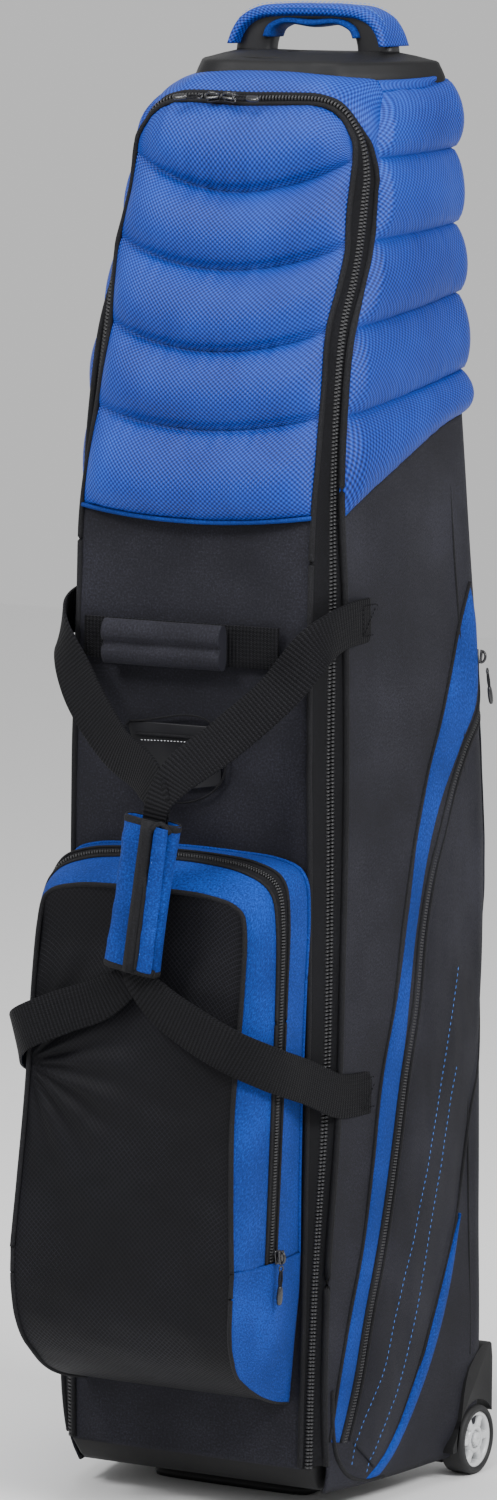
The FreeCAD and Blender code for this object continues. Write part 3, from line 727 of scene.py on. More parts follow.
def cap_plan(count, inset, level):
    """Plan of the cap from the middle of its front, up the right side and back down the left one."""
    half = [(x, y, 0) for x, y in CAP_HALF]
    outline = along(half + [(-x, y, 0) for x, y, _ in half[::-1][1:-1]], count, closed=True)
    centre = np.array([0, 112, 0])
    toward = centre - outline
    toward /= np.linalg.norm(toward, axis=1, keepdims=True)
    plan = outline + toward * inset
    plan[:, 2] = level
    return plan


FRONT_UPPER = mirrored([(118.5, 31, 1153), (115.5, 36, 1178), (112, 45, 1195), (107, 57, 1209),
                        (102, 68, 1221), (91, 78, 1229.5), (76, 60, 1232), (58, 46, 1234),
                        (29, 43.5, 1236), (0, 43, 1236.5)])


def make_roof():
    """Blue cloth from the hood's top seam in to the cap, and the pillow between the zip and the cap."""
    places = np.concatenate([np.linspace(0, 1, 80), np.linspace(1, 0, 80)[1:]])
    sides = [1] * 80 + [-1] * 79
    rim = []
    for place, side in zip(places, sides):
        level = hood_level(5, place, side)
        rim.append(wall_point(level, place, side) * np.array([1, 1, 0]) + np.array([0, 0, level]))
    rim = np.array(rim)
    inner = along([(91, 78, 1229.5), (104, 104, 1230), (113, 134, 1231.5), (115, 154, 1233),
                   (107, 165, 1233), (88, 167, 1233), (0, 167, 1234), (-88, 167, 1233),
                   (-107, 165, 1233), (-115, 154, 1233), (-113, 134, 1231.5), (-104, 104, 1230),
                   (-91, 78, 1229.5)], 159)
    rows = np.array([rim + (inner - rim) * part for part in np.linspace(0, 1, 9)])
    rows[..., 2] += 2.5 * np.sin(np.linspace(0, np.pi, 9))[:, None]
    roof = grid_piece("hood_roof", rows, blue_cloth, thick=2.0, outward=-1)
    place_piece(roof, "case")
    seam = tube_piece("hood_top_piping", along(rim + np.array([0, 0, 0.3]), 260), 1.5, blue_smooth)
    place_piece(seam, "case")
    low = evened(SEAM_LOOP[14:-14], 320)
    high = evened(FRONT_UPPER, 320)
    rows = np.array([low + (high - low) * part for part in np.linspace(0, 1, 24)])
    normal = normals_of(rows)
    if normal[12, 160, 1] > 0:
        normal = -normal
    width = np.linalg.norm(high - low, axis=1)[None, :]
    swell = np.sin(np.linspace(0, np.pi, 24))[:, None] ** 0.8 * np.clip(width / 28, 0, 1)
    rows = rows + normal * (swell * (4.5 + 1.2 * ripple(rows, 30, 8)))[..., None]
    front = grid_piece("hood_front", rows, blue_cloth, thick=2.0, outward=1)
    place_piece(front, "case")


# ---- main zip --------------------------------------------------------------------------------------

LOOP_STEPS = 700


def zip_teeth(name, line, inward, material, pitch=3.2, length=4.4, height=2.2):
    """Row of small rounded coil turns along a line, each reaching towards the other half of the zip."""
    gaps = np.linalg.norm(np.diff(line, axis=0), axis=1)
    reach = np.concatenate([[0], np.cumsum(gaps)])
    count = int(reach[-1] / pitch)
    places = np.linspace(0, reach[-1], count)
    spots = np.stack([np.interp(places, reach, line[:, axis]) for axis in range(3)], axis=1)
    ways = np.stack([np.interp(places, reach, inward[:, axis]) for axis in range(3)], axis=1)
    tangent = np.gradient(spots, axis=0)
    tangent /= np.linalg.norm(tangent, axis=1, keepdims=True)
    ways -= tangent * np.sum(ways * tangent, axis=1, keepdims=True)
    ways /= np.linalg.norm(ways, axis=1, keepdims=True)
    lift = np.cross(tangent, ways)
    profile = [(-0.5, 0.0), (-0.36, 0.75), (0.0, 1.0), (0.36, 0.75), (0.5, 0.0)]
    verts, faces = [], []
    for index in range(count):
        base = len(verts)
        for end in (-0.5, 0.5):
            for sideways, up in profile:
                verts.append(spots[index] + ways[index] * (sideways * length) + lift[index] * (up * height)
                             + tangent[index] * (end * pitch * 0.62))
        for step in range(4):
            faces.append((base + step, base + step + 1, base + 6 + step, base + 5 + step))
        faces.append((base, base + 1, base + 2, base + 3, base + 4))
        faces.append((base + 9, base + 8, base + 7, base + 6, base + 5))
    return mesh_piece(name, verts, faces, material)


def strip_between(name, first, second, material, bulge=0.0, outward=1, columns=5, thick=1.2):
    rows = []
    for part in np.linspace(0, 1, columns):
        row = first + (second - first) * part
        rows.append(row)
    rows = np.array(rows)
    if bulge:
        normal = normals_of(rows)
        rows = rows + normal * (bulge * outward * np.sin(np.linspace(0, np.pi, columns)))[:, None, None]
    return grid_piece(name, rows, material, thick=thick, outward=outward)


def make_main_zip():
    edge = evened(EDGE_LOOP, LOOP_STEPS)
    coil = evened(COIL_LOOP, LOOP_STEPS)
    seam = evened(SEAM_LOOP, LOOP_STEPS)
    low = seam[:, 2] < 1140
    front = seam_line(seam[low, 2])
    seam[low, 0] = np.sign(seam[low, 0]) * front[:, 0]
    seam[low, 1] = front[:, 1]
    sway = 0.9 * ripple(edge, 45, 11)[:, None]
    edge = edge + (edge - coil) / np.linalg.norm(edge - coil, axis=1, keepdims=True) * sway
    inner = coil + (edge - coil) * 0.12
    outer = coil + (seam - coil) * 0.12
    gusset = strip_between("panel_gusset", edge, inner, tape_cloth, 0.4, 1)
    place_piece(gusset, "front_panel", ["main_zip_tape_inner"])
    tape = strip_between("case_zip_tape", outer, seam, tape_cloth, 0.8, 1)
    place_piece(tape, "case", ["main_zip_tape_outer"])
    out = np.cross(np.gradient(coil, axis=0), seam - edge)
    out /= np.linalg.norm(out, axis=1, keepdims=True)
    if out[60, 1] > 0:
        out = -out
    across = seam - edge
    teeth = zip_teeth("panel_zip_teeth", inner + out * 0.6, -across, coil_plastic)
    place_piece(teeth, "front_panel")
    teeth = zip_teeth("case_zip_teeth", outer + out * 0.6, -across, coil_plastic)
    place_piece(teeth, "case")
    piping = tube_piece("panel_piping", edge + out * 0.8, 2.5, piping_cloth)
    place_piece(piping, "front_panel")
    piping = tube_piece("case_front_piping", seam + out * 0.9, 3.1, piping_cloth)
    place_piece(piping, "case")


# ---- front panel -----------------------------------------------------------------------------------

QUILT_FOOT = 866


def top_edge(share):
    """Height of the front panel's rounded top for a share of its half width."""
    return float(np.interp(abs(share) * TOP_ACROSS[-1], TOP_ACROSS, TOP_LEVELS))


def panel_point(share, level, crown):
    """Point of the front panel: share from -1 at its left edge to 1 at its right edge."""
    half, front = panel_edge(level)
    return np.array([share * half, front - crown * (1 - abs(share) ** 2.2), level])


def make_panel_lower():
    shares = np.linspace(-1, 1, 90)
    levels = np.linspace(44, QUILT_FOOT, 210)
    surface = np.zeros((len(levels), len(shares), 3))
    for row, level in enumerate(levels):
        crown = 5 * math.sin(math.pi * min(1, max(0, (level - 44) / 700)) ** 0.7)
        for col, share in enumerate(shares):
            drop = 8 * (1 - share ** 2) * max(0, (level - 700) / (QUILT_FOOT - 700)) ** 2
            surface[row, col] = panel_point(share, level, crown)
            surface[row, col][2] -= drop
    inside = (1 - np.abs(shares) ** 6)[None, :]
    surface[..., 1] -= inside * (2.0 * ripple(surface, 110, 21) + 0.9
                                 * ripple(surface * np.array([1, 1, 0.5]), 34, 22))
    piece = grid_piece("front_panel_cloth", surface, black_cloth, thick=3.0, outward=1)
    place_piece(piece, "front_panel", ["front_panel_shell"])


QUILT_SEAMS = [(866, 8), (951, 15), (1023, 21), (1095, 24), (1167, 30)]


def quilt_line(index, share):
    """Height of a quilt seam, lowest in the middle; the last line is the panel's rounded top."""
    if index == len(QUILT_SEAMS):
        return top_edge(share)
    level, sag = QUILT_SEAMS[index]
    return level - sag * (1 - abs(share) ** 2.0)


def make_quilt():
    shares = np.linspace(-1, 1, 121)
    steps = 22
    rows = 5 * steps + 1
    surface = np.zeros((rows, len(shares), 3))
    lift = np.zeros((rows, len(shares)))
    near = np.zeros((rows, len(shares)))
    for col, share in enumerate(shares):
        for row in range(rows):
            channel = min(row // steps, 4)
            part = (row - channel * steps) / steps
            low, high = quilt_line(channel, share), max(quilt_line(channel + 1, share),
                                                        quilt_line(channel, share))
            level = max(low, min(low + (high - low) * part, top_edge(share)))
            surface[row, col] = panel_point(share, level, 9)
            lift[row, col] = float(puff(1 - part)) * min(1, (high - low) / 60)
            near[row, col] = min(part, 1 - part)
    fade = (1 - np.abs(shares) ** 7)[None, :] ** 0.8
    normal = normals_of(surface)
    if normal[rows // 2, 60, 1] > 0:
        normal = -normal
    pucker = ripple(surface * np.array([1, 1, 0.25]), 9, 31) * np.exp(-near / 0.14)
    soft = 1 + 0.1 * ripple(surface, 55, 32)
    swell = 19.0 * lift * fade * soft - 3.5 * fade + 2.2 * pucker * fade
    surface = surface + normal * swell[..., None]
    piece = grid_piece("quilt", surface, blue_cloth, thick=3.0, outward=1)
    place_piece(piece, "front_panel", ["front_quilt"])
    line = np.array([panel_point(share, quilt_line(0, share), 9) for share in shares])
    cord = tube_piece("quilt_piping", line + np.array([0, -1.5, 0]), 2.0, blue_smooth)
    place_piece(cord, "front_panel")


make_hood()
make_roof()
make_back_wall()
for side, word in SIDES:
    make_side_wall(side, word)
make_main_zip()
make_panel_lower()
make_quilt()


# ---- small makings ---------------------------------------------------------------------------------

def stitch_row(name, line, outward, material, body, dash=3.4, gap=2.0, radius=0.5):
    """Row of short raised thread dashes along a line."""
    line = np.array(line, float)
    reach = np.concatenate([[0], np.cumsum(np.linalg.norm(np.diff(line, axis=0), axis=1))])
    count = max(2, int(reach[-1] / (dash + gap)))
    outward = np.broadcast_to(np.array(outward, float), line.shape)
    verts, faces = [], []

    def spot(place):
        point = np.array([np.interp(place, reach, line[:, axis]) for axis in range(3)])
        way = np.array([np.interp(place, reach, outward[:, axis]) for axis in range(3)])
        return point, way / np.linalg.norm(way)
    for index in range(count):
        start = index * (dash + gap)
        first, way = spot(start)
        last = spot(start + dash)[0]
        run = (last - first) / max(np.linalg.norm(last - first), 1e-6)
        side = np.cross(run, way) * radius
        rise = way * radius
        base = len(verts)
        middle = (first + last) / 2
        for point, size in ((first, 0.35), (middle, 1.0), (last, 0.35)):
            verts += [point - side * size, point + rise * size * 0.9, point + side * size,
                      point - rise * size * 0.4]
        for ring in (0, 4):
            for corner in range(4):
                nxt = (corner + 1) % 4
                faces.append((base + ring + corner, base + ring + nxt, base + ring + 4 + nxt,
                              base + ring + 4 + corner))
        faces.append((base + 3, base + 2, base + 1, base))
        faces.append((base + 8, base + 9, base + 10, base + 11))
    return place_piece(mesh_piece(name, verts, faces, material), body)


def turned_piece(name, profile, middle, axis, material, steps=64):
    """Piece turned about an axis: profile pairs are distance along the axis and radius."""
    axis = np.array(axis, float)
    first = np.cross(axis, (0, 0, 1) if abs(axis[2]) < 0.9 else (1, 0, 0))
    first /= np.linalg.norm(first)
    second = np.cross(axis, first)
    verts = []
    for along_axis, radius in profile:
        for step in range(steps):
            angle = 2 * math.pi * step / steps
            verts.append(np.array(middle) + axis * along_axis
                         + radius * (math.cos(angle) * first + math.sin(angle) * second))
    faces = []
    for ring in range(len(profile)):
        here, there = ring * steps, ((ring + 1) % len(profile)) * steps
        for step in range(steps):
            faces.append((here + step, here + (step + 1) % steps, there + (step + 1) % steps, there + step))
    piece = mesh_piece(name, verts, faces, material)
    fix_normals(piece)
    return piece


def fix_normals(piece):
    work = bmesh.new()
    work.from_mesh(piece.data)
    bmesh.ops.recalc_face_normals(work, faces=work.faces)
    work.to_mesh(piece.data)
    work.free()


def plate_piece(name, outline, near, far, material, bevel=2.0, axis="x"):
    """Flat outline made solid between two distances; outline pairs lie across the named axis."""
    count = len(outline)
    verts = []
    for distance in (near, far):
        for first, second in outline:
            verts.append({"x": (distance, first, second), "y": (first, distance, second),
                          "z": (first, second, distance)}[axis])
    faces = [tuple(range(count))[::-1], tuple(range(count, 2 * count))]
    for index in range(count):
        nxt = (index + 1) % count
        faces.append((index, nxt, count + nxt, count + index))
    piece = mesh_piece(name, verts, faces, material)
    fix_normals(piece)
    if bevel:
        round_edges(piece, bevel)
    return piece


def smooth_all(piece):
    finer = piece.modifiers.new("Smoothing", "SUBSURF")
    finer.levels = 1
    finer.render_levels = 1


def soft_pad(name, sections, material, body, nodes=()):
    """Stuffed piece: rings of equal length along it, closed at both ends."""
    piece = loft_piece(name, sections, material)
    place_piece(piece, body, nodes)
    return piece


def rounded_ring(centre, across, rise, half_width, half_height, power=3.0, count=28):
    """Ring shaped like a rounded rectangle in the plane of two directions."""
    centre, across, rise = (np.array(item, float) for item in (centre, across, rise))
    ring = []
    for angle in np.linspace(0, 2 * np.pi, count, endpoint=False):
        x, y = math.cos(angle), math.sin(angle)
        size = (abs(x) ** power + abs(y) ** power) ** (-1 / power)
        ring.append(centre + across * (x * size * half_width) + rise * (y * size * half_height))
    return ring


# ---- pocket ----------------------------------------------------------------------------------------

POCKET_STEPS = 420
PANEL_LOOP = mirrored([(112, -77, 235), (112, -77, 300), (113, -77, 371), (116, -77, 462),
                       (119, -77, 530), (114, -77, 562), (90, -77, 573), (45, -77, 576), (0, -77, 577)])
OUTER_LOOP = mirrored([(116.5, -126, 235), (118, -124, 300), (119.5, -122, 371), (120.5, -118, 462),
                       (119, -112, 528), (110, -106, 560), (84, -103, 572), (45, -101.5, 576),
                       (0, -101, 577)])
INNER_LOOP = mirrored([(115.5, -141, 235), (117, -139, 300), (118.5, -137, 371), (119.5, -133, 462),
                       (116, -127, 525), (106, -122, 553), (78, -119, 566), (40, -118, 571),
                       (0, -118, 572)])
PIPE_LOOP = mirrored([(109, -186, 235), (105, -181, 300), (102, -174, 371), (103, -162, 462),
                      (101, -154, 522), (92, -153, 541), (64, -155, 549), (32, -158, 551.5),
                      (0, -160, 552)])
LOW_ROWS = [
    [(112, -77, 235), (116.5, -126, 235), (115.5, -141, 235), (109, -186, 235)],
    [(110.5, -77, 200), (115, -118, 196), (114.5, -141, 197), (108, -187.5, 203)],
    [(107, -77, 165), (111.5, -112, 158), (111.5, -140, 162), (106, -184, 174)],
    [(104, -77, 130), (107.5, -106, 128), (108, -136, 139), (104, -175, 154)],
    [(101.5, -77, 102), (103, -106, 109), (103.5, -136, 121), (102, -164, 141)],
]
FACE_LINE = through([102, 110, 122, 141, 154, 174, 203, 235, 300, 371, 462, 522, 552], [
    (101.5, -77), (103, -109), (103.5, -138), (102, -164), (104, -175), (106, -184), (108, -187.5),
    (109, -186), (105, -181), (102, -174), (103, -162), (101, -154), (101, -156)])


def ride_with_cover(piece, nodes=()):
    if nodes:
        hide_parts(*nodes)
    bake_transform(piece)


def make_pocket_face():
    shares = np.linspace(-1, 1, 100)
    rows = 170
    surface = np.zeros((rows, 100, 3))
    for col, share in enumerate(shares):
        top = 522 + 30 * (1 - abs(share) ** 5) ** 0.45 if abs(share) < 1 else 522
        foot = 102
        for row in range(rows):
            part = row / (rows - 1)
            level = foot + (top - foot) * part
            half, front = FACE_LINE(level)
            crown = 5.0 * (1 - share ** 2) ** 0.8 * math.sin(math.pi * min(1, 0.12 + part * 0.8))
            surface[row, col] = (share * half, front - crown, level)
    edge = ((1 - np.abs(shares) ** 8)[None, :]
            * np.sin(np.linspace(0.06, np.pi - 0.06, rows))[:, None] ** 0.5)
    drape = (3.0 * ripple(surface * np.array([1, 1, 0.8]), 85, 41)
             + 2.0 * ripple(surface * np.array([1, 1, 1.7]), 38, 42))
    fan = np.hypot(surface[..., 0] + 75, surface[..., 2] - 395)
    folds = 3.2 * np.sin(np.arctan2(surface[..., 2] - 395, surface[..., 0] + 105) * 17) * np.exp(-fan / 80)
    surface[..., 1] -= edge * (drape + folds)
    surface[..., 1] = np.maximum(surface[..., 1], -196)
    piece = grid_piece("pocket_face", surface, dark_cloth, thick=2.0, outward=1)
    ride_with_cover(piece, ["pocket_cover", "pocket_bucket"])


def make_pocket_walls():
    panel, outer = evened(PANEL_LOOP, POCKET_STEPS), evened(OUTER_LOOP, POCKET_STEPS)
    inner, pipe = evened(INNER_LOOP, POCKET_STEPS), evened(PIPE_LOOP, POCKET_STEPS)
    gusset = strip_between("pocket_wall", panel, outer, blue_smooth, 1.2, 1, 9, 2.0)
    place_piece(gusset, "front_panel", ["pocket_gusset"])
    band = strip_between("pocket_cover_wall", inner, pipe, blue_smooth, 2.5, 1, 12, 2.0)
    ride_with_cover(band)
    middle_out = outer + (inner - outer) * 0.44
    middle_in = outer + (inner - outer) * 0.56
    tape = strip_between("pocket_zip_outer", outer, middle_out, tape_cloth, 0.3, 1, 4, 1.0)
    place_piece(tape, "front_panel", ["pocket_zip_tape"])
    tape = strip_between("pocket_zip_inner", middle_in, inner, tape_cloth, 0.3, 1, 4, 1.0)
    ride_with_cover(tape)
    across = inner - outer
    out = np.cross(np.gradient(outer, axis=0), across)
    out /= np.linalg.norm(out, axis=1, keepdims=True)
    if out[20, 0] < 0:
        out = -out
    teeth = zip_teeth("pocket_teeth_outer", middle_out + out * 0.3, across, coil_plastic, 2.6, 2.6, 1.5)
    place_piece(teeth, "front_panel")
    teeth = zip_teeth("pocket_teeth_inner", middle_in + out * 0.3, across, coil_plastic, 2.6, 2.6, 1.5)
    ride_with_cover(teeth)
    for name, line, radius, cloth in (("pocket_zip_lip_outer", outer, 1.5, piping_cloth),
                                      ("pocket_panel_seam", panel + np.array([0, -1, 0]), 1.8,
                                       blue_smooth)):
        place_piece(tube_piece(name, line + out * 0.5, radius, cloth), "front_panel")
    ride_with_cover(tube_piece("pocket_zip_lip_inner", inner + out * 0.5, 1.5, piping_cloth))
    rows = np.array(LOW_ROWS, float)
    fine = through(range(5), rows)(np.linspace(0, 4, 60))
    for side, word in SIDES:
        grid = np.array([through(range(4), line)(np.linspace(0, 3, 40)) for line in fine])
        grid[..., 0] *= side
        normal = normals_of(grid)
        if normal[20, 20, 0] * side < 0:
            normal = -normal
        swell = np.sin(np.linspace(0, np.pi, 40))[None, :] * np.sin(np.linspace(0.2, np.pi, 60))[:, None]
        grid = grid + normal * (swell * (2.0 + 1.6 * ripple(grid, 30, 44)))[..., None]
        wall = grid_piece("pocket_low_wall_" + word, grid, blue_smooth, thick=2.0, outward=-side)
        place_piece(wall, "front_panel")
        for drop in (0, -4):
            seam = grid[3 - drop // 2] + normal[3 - drop // 2] * 0.5
            stitch_row("pocket_seam_%s_%d" % (word, -drop), seam, normal[3], blue_thread, "front_panel")
    corner = [row[3] for row in LOW_ROWS] + [LOW_ROWS[-1][place] for place in (2, 1, 0)]
    for side, word in SIDES:
        line = along([(side * x, y, z) for x, y, z in corner], 120)
        place_piece(tube_piece("pocket_low_piping_" + word, line, 2.2, piping_cloth), "front_panel")
    ride_with_cover(tube_piece("pocket_cover_piping", pipe + np.array([0, -1.2, 0]), 2.2, piping_cloth))


# ---- straps, cuff and handles ----------------------------------------------------------------------

def strap_stations(side):
    """Centre line of one webbing loop, the way its outer face looks and how far it is bunched up."""
    high, low, front = 775, 366, (0, -1, 0)
    out, corner = (side, 0, 0), (side, -1, 0)
    layer = {1: -181.2, -1: -178.6}[side]
    mouth = {1: (36, -168, high - 130), -1: (12, -163, high - 132)}[side]
    spread = {1: (66, -128, high - 94), -1: (-46, -128, high - 106)}[side]
    return [
        ((side * 135, -4, high), out, 1), ((side * 134, -40, high - 2), out, 1),
        ((side * 127, -80, high - 16), corner, 1), ((side * 100, -100, high - 56), front, 1),
        (spread, front, 1),
        (mouth, front, 0.86), ((29, layer + 1, 626), front, 0.62), ((26, layer, 605), front, 0.56),
        ((18, layer, 555), front, 0.55), ((10, layer, 505), front, 0.56), ((8, layer, 486), front, 0.62),
        ((side * 26 + 6, layer - 1, low + 94), front, 0.9), ((side * 62, -184.5, low + 77), front, 1),
        ((side * 104, -183.5, low + 58), (side * 0.25, -1, 0), 1),
        ((side * 125, -151, low + 40), corner, 1),
        ((side * 131, -100, low + 22), out, 1), ((side * 135.5, -46, low + 2), out, 1),
        ((side * 140, -4, low), out, 1),
    ]


def make_straps():
    for side, word in SIDES:
        stations = strap_stations(side)
        centres = [station[0] for station in stations]
        outs = [np.array(station[1], float) / np.linalg.norm(station[1]) for station in stations]
        ribbon = ribbon_piece("strap_web_" + word, centres, outs, 38, 2.5, webbing, 300, 1.2, side,
                              [station[2] for station in stations])
        place_piece(ribbon, "strap_" + word, ["strap_" + word])
        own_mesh(ribbon)
        for level in (775, 366):
            middle = np.array([side * (135 if level > 500 else 140), -6, level])
            corners = [(-12, -13), (12, -13), (12, 13), (-12, 13), (-12, -13), (12, 13)]
            line = [middle + np.array([side * 1.9, along_y, up]) for along_y, up in corners]
            stitch_row("strap_box_%s_%d" % (word, level), line, (side, 0, 0), webbing, "strap_" + word, 2.6,
                       1.4, 0.6)


LEAN = math.radians(9)
CUFF_UP = np.array([math.sin(LEAN), 0, math.cos(LEAN)])
CUFF_OVER = np.array([math.cos(LEAN), 0, -math.sin(LEAN)])
CUFF_FOOT = np.array([-19.0, -180.8, 490.0]) + CUFF_OVER * 25


def make_cuff():
    """Soft sleeve that holds both straps together; its closing flap lies over the right half."""
    steps = 46
    rings = []
    for index in range(steps):
        part = index / (steps - 1)
        centre = CUFF_FOOT + CUFF_UP * (130 * part)
        half = 25 - 2.5 * math.sin(math.pi * part) * 0.6
        rings.append(rounded_ring(centre, CUFF_OVER, (0, -1, 0), half, 7.4, 3.2, 48))
    rings = np.array(rings)
    folds = (ripple(rings * np.array([1.0, 1.0, 2.6]), 22, 51)
             + 0.5 * np.sin(rings[..., 2] / 5.2 + rings[..., 0] / 9))
    ends = np.clip(np.minimum(np.arange(steps), np.arange(steps)[::-1]) / 6, 0, 1)[:, None]
    rings[..., 1] -= 1.1 * folds * ends * (rings[..., 1] < -180.8)
    piece = loft_piece("cuff_sleeve", rings, blue_smooth, caps=False, thick=1.5)
    place_piece(piece, "strap_right", ["wrap_cuff"])
    pieces = [piece]
    for name, start, depth in (("cuff_foot_binding", -2, 6), ("cuff_top_binding", 124, 7)):
        bands = [rounded_ring(CUFF_FOOT + CUFF_UP * (start + depth * part), CUFF_OVER, (0, -1, 0),
                              26.2 - 1.2 * abs(2 * part - 1), 8.6 - 1.0 * abs(2 * part - 1), 3.2, 48)
                 for part in np.linspace(0, 1, 6)]
        binding = loft_piece(name, bands, piping_cloth, caps=False, thick=1.0)
        pieces.append(place_piece(binding, "strap_right"))
    strip_out = np.array([0, -1.0, 0])

    def on_cuff(rise, over, lift):
        return CUFF_FOOT + CUFF_UP * rise + CUFF_OVER * over + strip_out * lift

    middle = [on_cuff(rise, 3.5 - 2 * rise / 130, 10.4) for rise in np.linspace(0, 130, 14)]
    pieces.append(place_piece(tube_piece("cuff_middle_binding", middle, 6.5, piping_cloth, up=(0, 1, 0)),
                              "strap_right"))
    rises = np.linspace(3, 128, 90)
    overs = np.linspace(0, 1, 16)
    rows = np.array([[on_cuff(rise, 11.5 - 2 * rise / 130 + over * (14.5 - 2 * rise / 130),
                              11.6 + 1.8 * math.sin(math.pi * over)) for over in overs] for rise in rises])
    rows[..., 1] -= 0.9 * ripple(rows * np.array([1, 1, 1.6]), 14, 7)
    cover = grid_piece("cuff_flap", rows, blue_smooth, thick=1.4, outward=-1)
    place_piece(cover, "wrap_flap", ["wrap_flap"])
    outline = [on_cuff(3, 10, 12), on_cuff(66, 9, 12.4), on_cuff(126, 8, 12), on_cuff(131, 14, 11.4),
               on_cuff(125, 24, 10.5)]
    place_piece(tube_piece("flap_top", along(outline, 90), 2.4, piping_cloth, up=(0, 1, 0)), "wrap_flap")
    foot = [on_cuff(3, over, 10.2) for over in np.linspace(7, 27, 6)]
    place_piece(tube_piece("flap_foot", foot, 3.4, piping_cloth, up=(0, 1, 0)), "wrap_flap")
    for over in (0.12, 0.86):
        line = [on_cuff(rise, 11.5 - 2 * rise / 130 + over * (14.5 - 2 * rise / 130), 13.2)
                for rise in np.linspace(8, 122, 30)]
        row = stitch_row("flap_stitches_%d" % (100 * over), line, (0, -1, 0), blue_thread, "wrap_flap", 2.4,
                         1.6, 0.45)
        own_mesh(row)
    for piece in pieces:
        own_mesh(piece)
    for name in ("cuff_flap", "flap_foot", "flap_top"):
        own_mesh(bpy.data.objects[name])


def make_front_grab():
    web = ribbon_piece("grab_web", [(-104, -78.6, 753.5), (-60, -79.4, 753.5), (0, -79.6, 753.5),
                                    (88, -78.6, 753.5)],
                       [(0, -1, 0)] * 4, 36, 2.2, webbing, 80, 0.8, 9)
    place_piece(web, "front_grab")
    rings = []
    for part in np.linspace(0, 1, 60):
        x = -79 + 117 * part
        ring = rounded_ring((x, -86.5, 752), (0, 0, 1), (0, -1, 0), 19.5, 6.6, 2.6, 40)
        ring = np.array(ring)
        fold = np.exp(-((ring[:, 2] - 751) / 2.2) ** 2) * (ring[:, 1] < -86)
        ring[:, 1] += 4.6 * fold
        lobe = np.sin(np.clip((ring[:, 2] - 731) / 41, 0, 1) * 2 * np.pi) ** 2 * (ring[:, 1] < -86)
        ring[:, 1] -= 1.6 * lobe
        rings.append(ring)
    rings = np.array(rings)
    rings[..., 1] -= 0.7 * ripple(rings, 16, 61)
    soft_pad("grab_pad", rings, black_cloth, "front_grab", ["front_grab_handle"])
    for x, word in ((-77, "left"), (36, "right")):
        line = [(x, -87 - 6.3 * math.sin(math.pi * part) ** 0.4, 733 + 38 * part)
                for part in np.linspace(0.04, 0.96, 16)]
        stitch_row("grab_stitches_" + word, line, (0, -1, 0), webbing, "front_grab", 2.2, 1.4, 0.5)
    for left, right, word in ((-101, -84, "left"), (44, 85, "right")):
        for level in (739, 768):
            line = [(x, -80.9, level) for x in np.linspace(left, right, 8)]
            stitch_row("grab_web_%s_%d" % (word, level), line, (0, -1, 0), webbing, "front_grab", 2.2, 1.4,
                       0.45)


def make_name_window():
    outline = [(-58, 683), (26, 683), (29, 680), (33, 636), (30, 632), (-36, 621), (-40, 624), (-61, 680)]
    card = plate_piece("window_sheet", outline, -79.2, -76.5, vinyl, 0.8, "y")
    place_piece(card, "front_panel", ["name_window"])
    frame_line = [(x, -79.4, z) for x, z in outline]
    edge = tube_piece("window_binding", along(frame_line, 160, True), 0.9, piping_cloth, closed=True,
                      up=(0, 1, 0))
    place_piece(edge, "front_panel")
    slit = [(-47, -79.6, 667), (-10, -79.8, 668), (22, -79.6, 668)]
    stitch_row("window_stitches", along(slit, 40), (0, -1, 0), white_thread, "front_panel", 1.8, 1.5, 0.5)
    lip = tube_piece("window_lip", along([(-52, -79.6, 672), (-10, -80.2, 672.5), (27, -79.6, 672)], 40),
                     1.3,
                     piping_cloth, up=(0, 1, 0))
    place_piece(lip, "front_panel")


def make_rear_grab():
    centres = [(-150, 174.2, 397), (-118, 176.5, 397), (-100, 182.5, 397), (0, 184.2, 397),
               (100, 182.5, 397), (118, 176.5, 397), (150, 174.2, 397)]
    outs = [(0, 1, 0)] * 7
    web = ribbon_piece("rear_grab_web", centres, outs, 38, 2.6, blue_smooth, 140, 0.8, 13)
    place_piece(web, "rear_grab", ["rear_grab_handle"])
    rings = []
    for part in np.linspace(0, 1, 50):
        x = -72 + 144 * part
        rings.append(rounded_ring((x, 184.0, 397), (0, 0, 1), (0, 1, 0), 21, 5.0, 2.6, 32))
    rings = np.array(rings)
    rings[..., 1] += 0.6 * ripple(rings, 15, 63)
    soft_pad("rear_grab_pad", rings, black_cloth, "rear_grab")


# ---- cap and carry handle --------------------------------------------------------------------------

def make_cap():
    levels = [(0.5, 1226), (0, 1228), (0, 1233), (2, 1238), (4.5, 1243), (5.5, 1245.2), (7.5, 1246.6),
              (12, 1247.6), (26, 1251), (38, 1253.2), (44, 1254), (60, 1254.4), (80, 1254.5)]
    rings = np.array([cap_plan(140, inset, level) for inset, level in levels])
    cap = loft_piece("cap_shell", rings, cap_plastic)
    place_piece(cap, "case", ["top_cap"])
    ring = [(x - 18, 72 + y, 1249.9 + 0.075 * y) for x, y in oval_ring(31, 13)]
    badge = tube_piece("cap_plain_oval", ring, 0.9, cap_plastic, closed=True)
    place_piece(badge, "case")


def oval_ring(half, depth):
    return [(half * math.cos(angle), depth * math.sin(angle))
            for angle in np.linspace(0, 2 * np.pi, 64, endpoint=False)]


def arch_piece(name, outer, inner, depth, material, power=3.2, steps=90, depth_ends=None):
    """Arch between two outlines in the plane across the case, with rounded section."""
    outer = along([(x, 137, z) for x, z in outer], steps)
    inner = along([(x, 137, z) for x, z in inner], steps)
    rings = []
    for index in range(steps):
        centre = (outer[index] + inner[index]) / 2
        rise = outer[index] - inner[index]
        reach = np.linalg.norm(rise)
        share = abs(2 * index / (steps - 1) - 1)
        wide = depth + ((depth_ends or depth) - depth) * share ** 4
        rings.append(rounded_ring(centre, (0, 1, 0), rise / reach, wide / 2, reach / 2, power, 36))
    return loft_piece(name, rings, material)


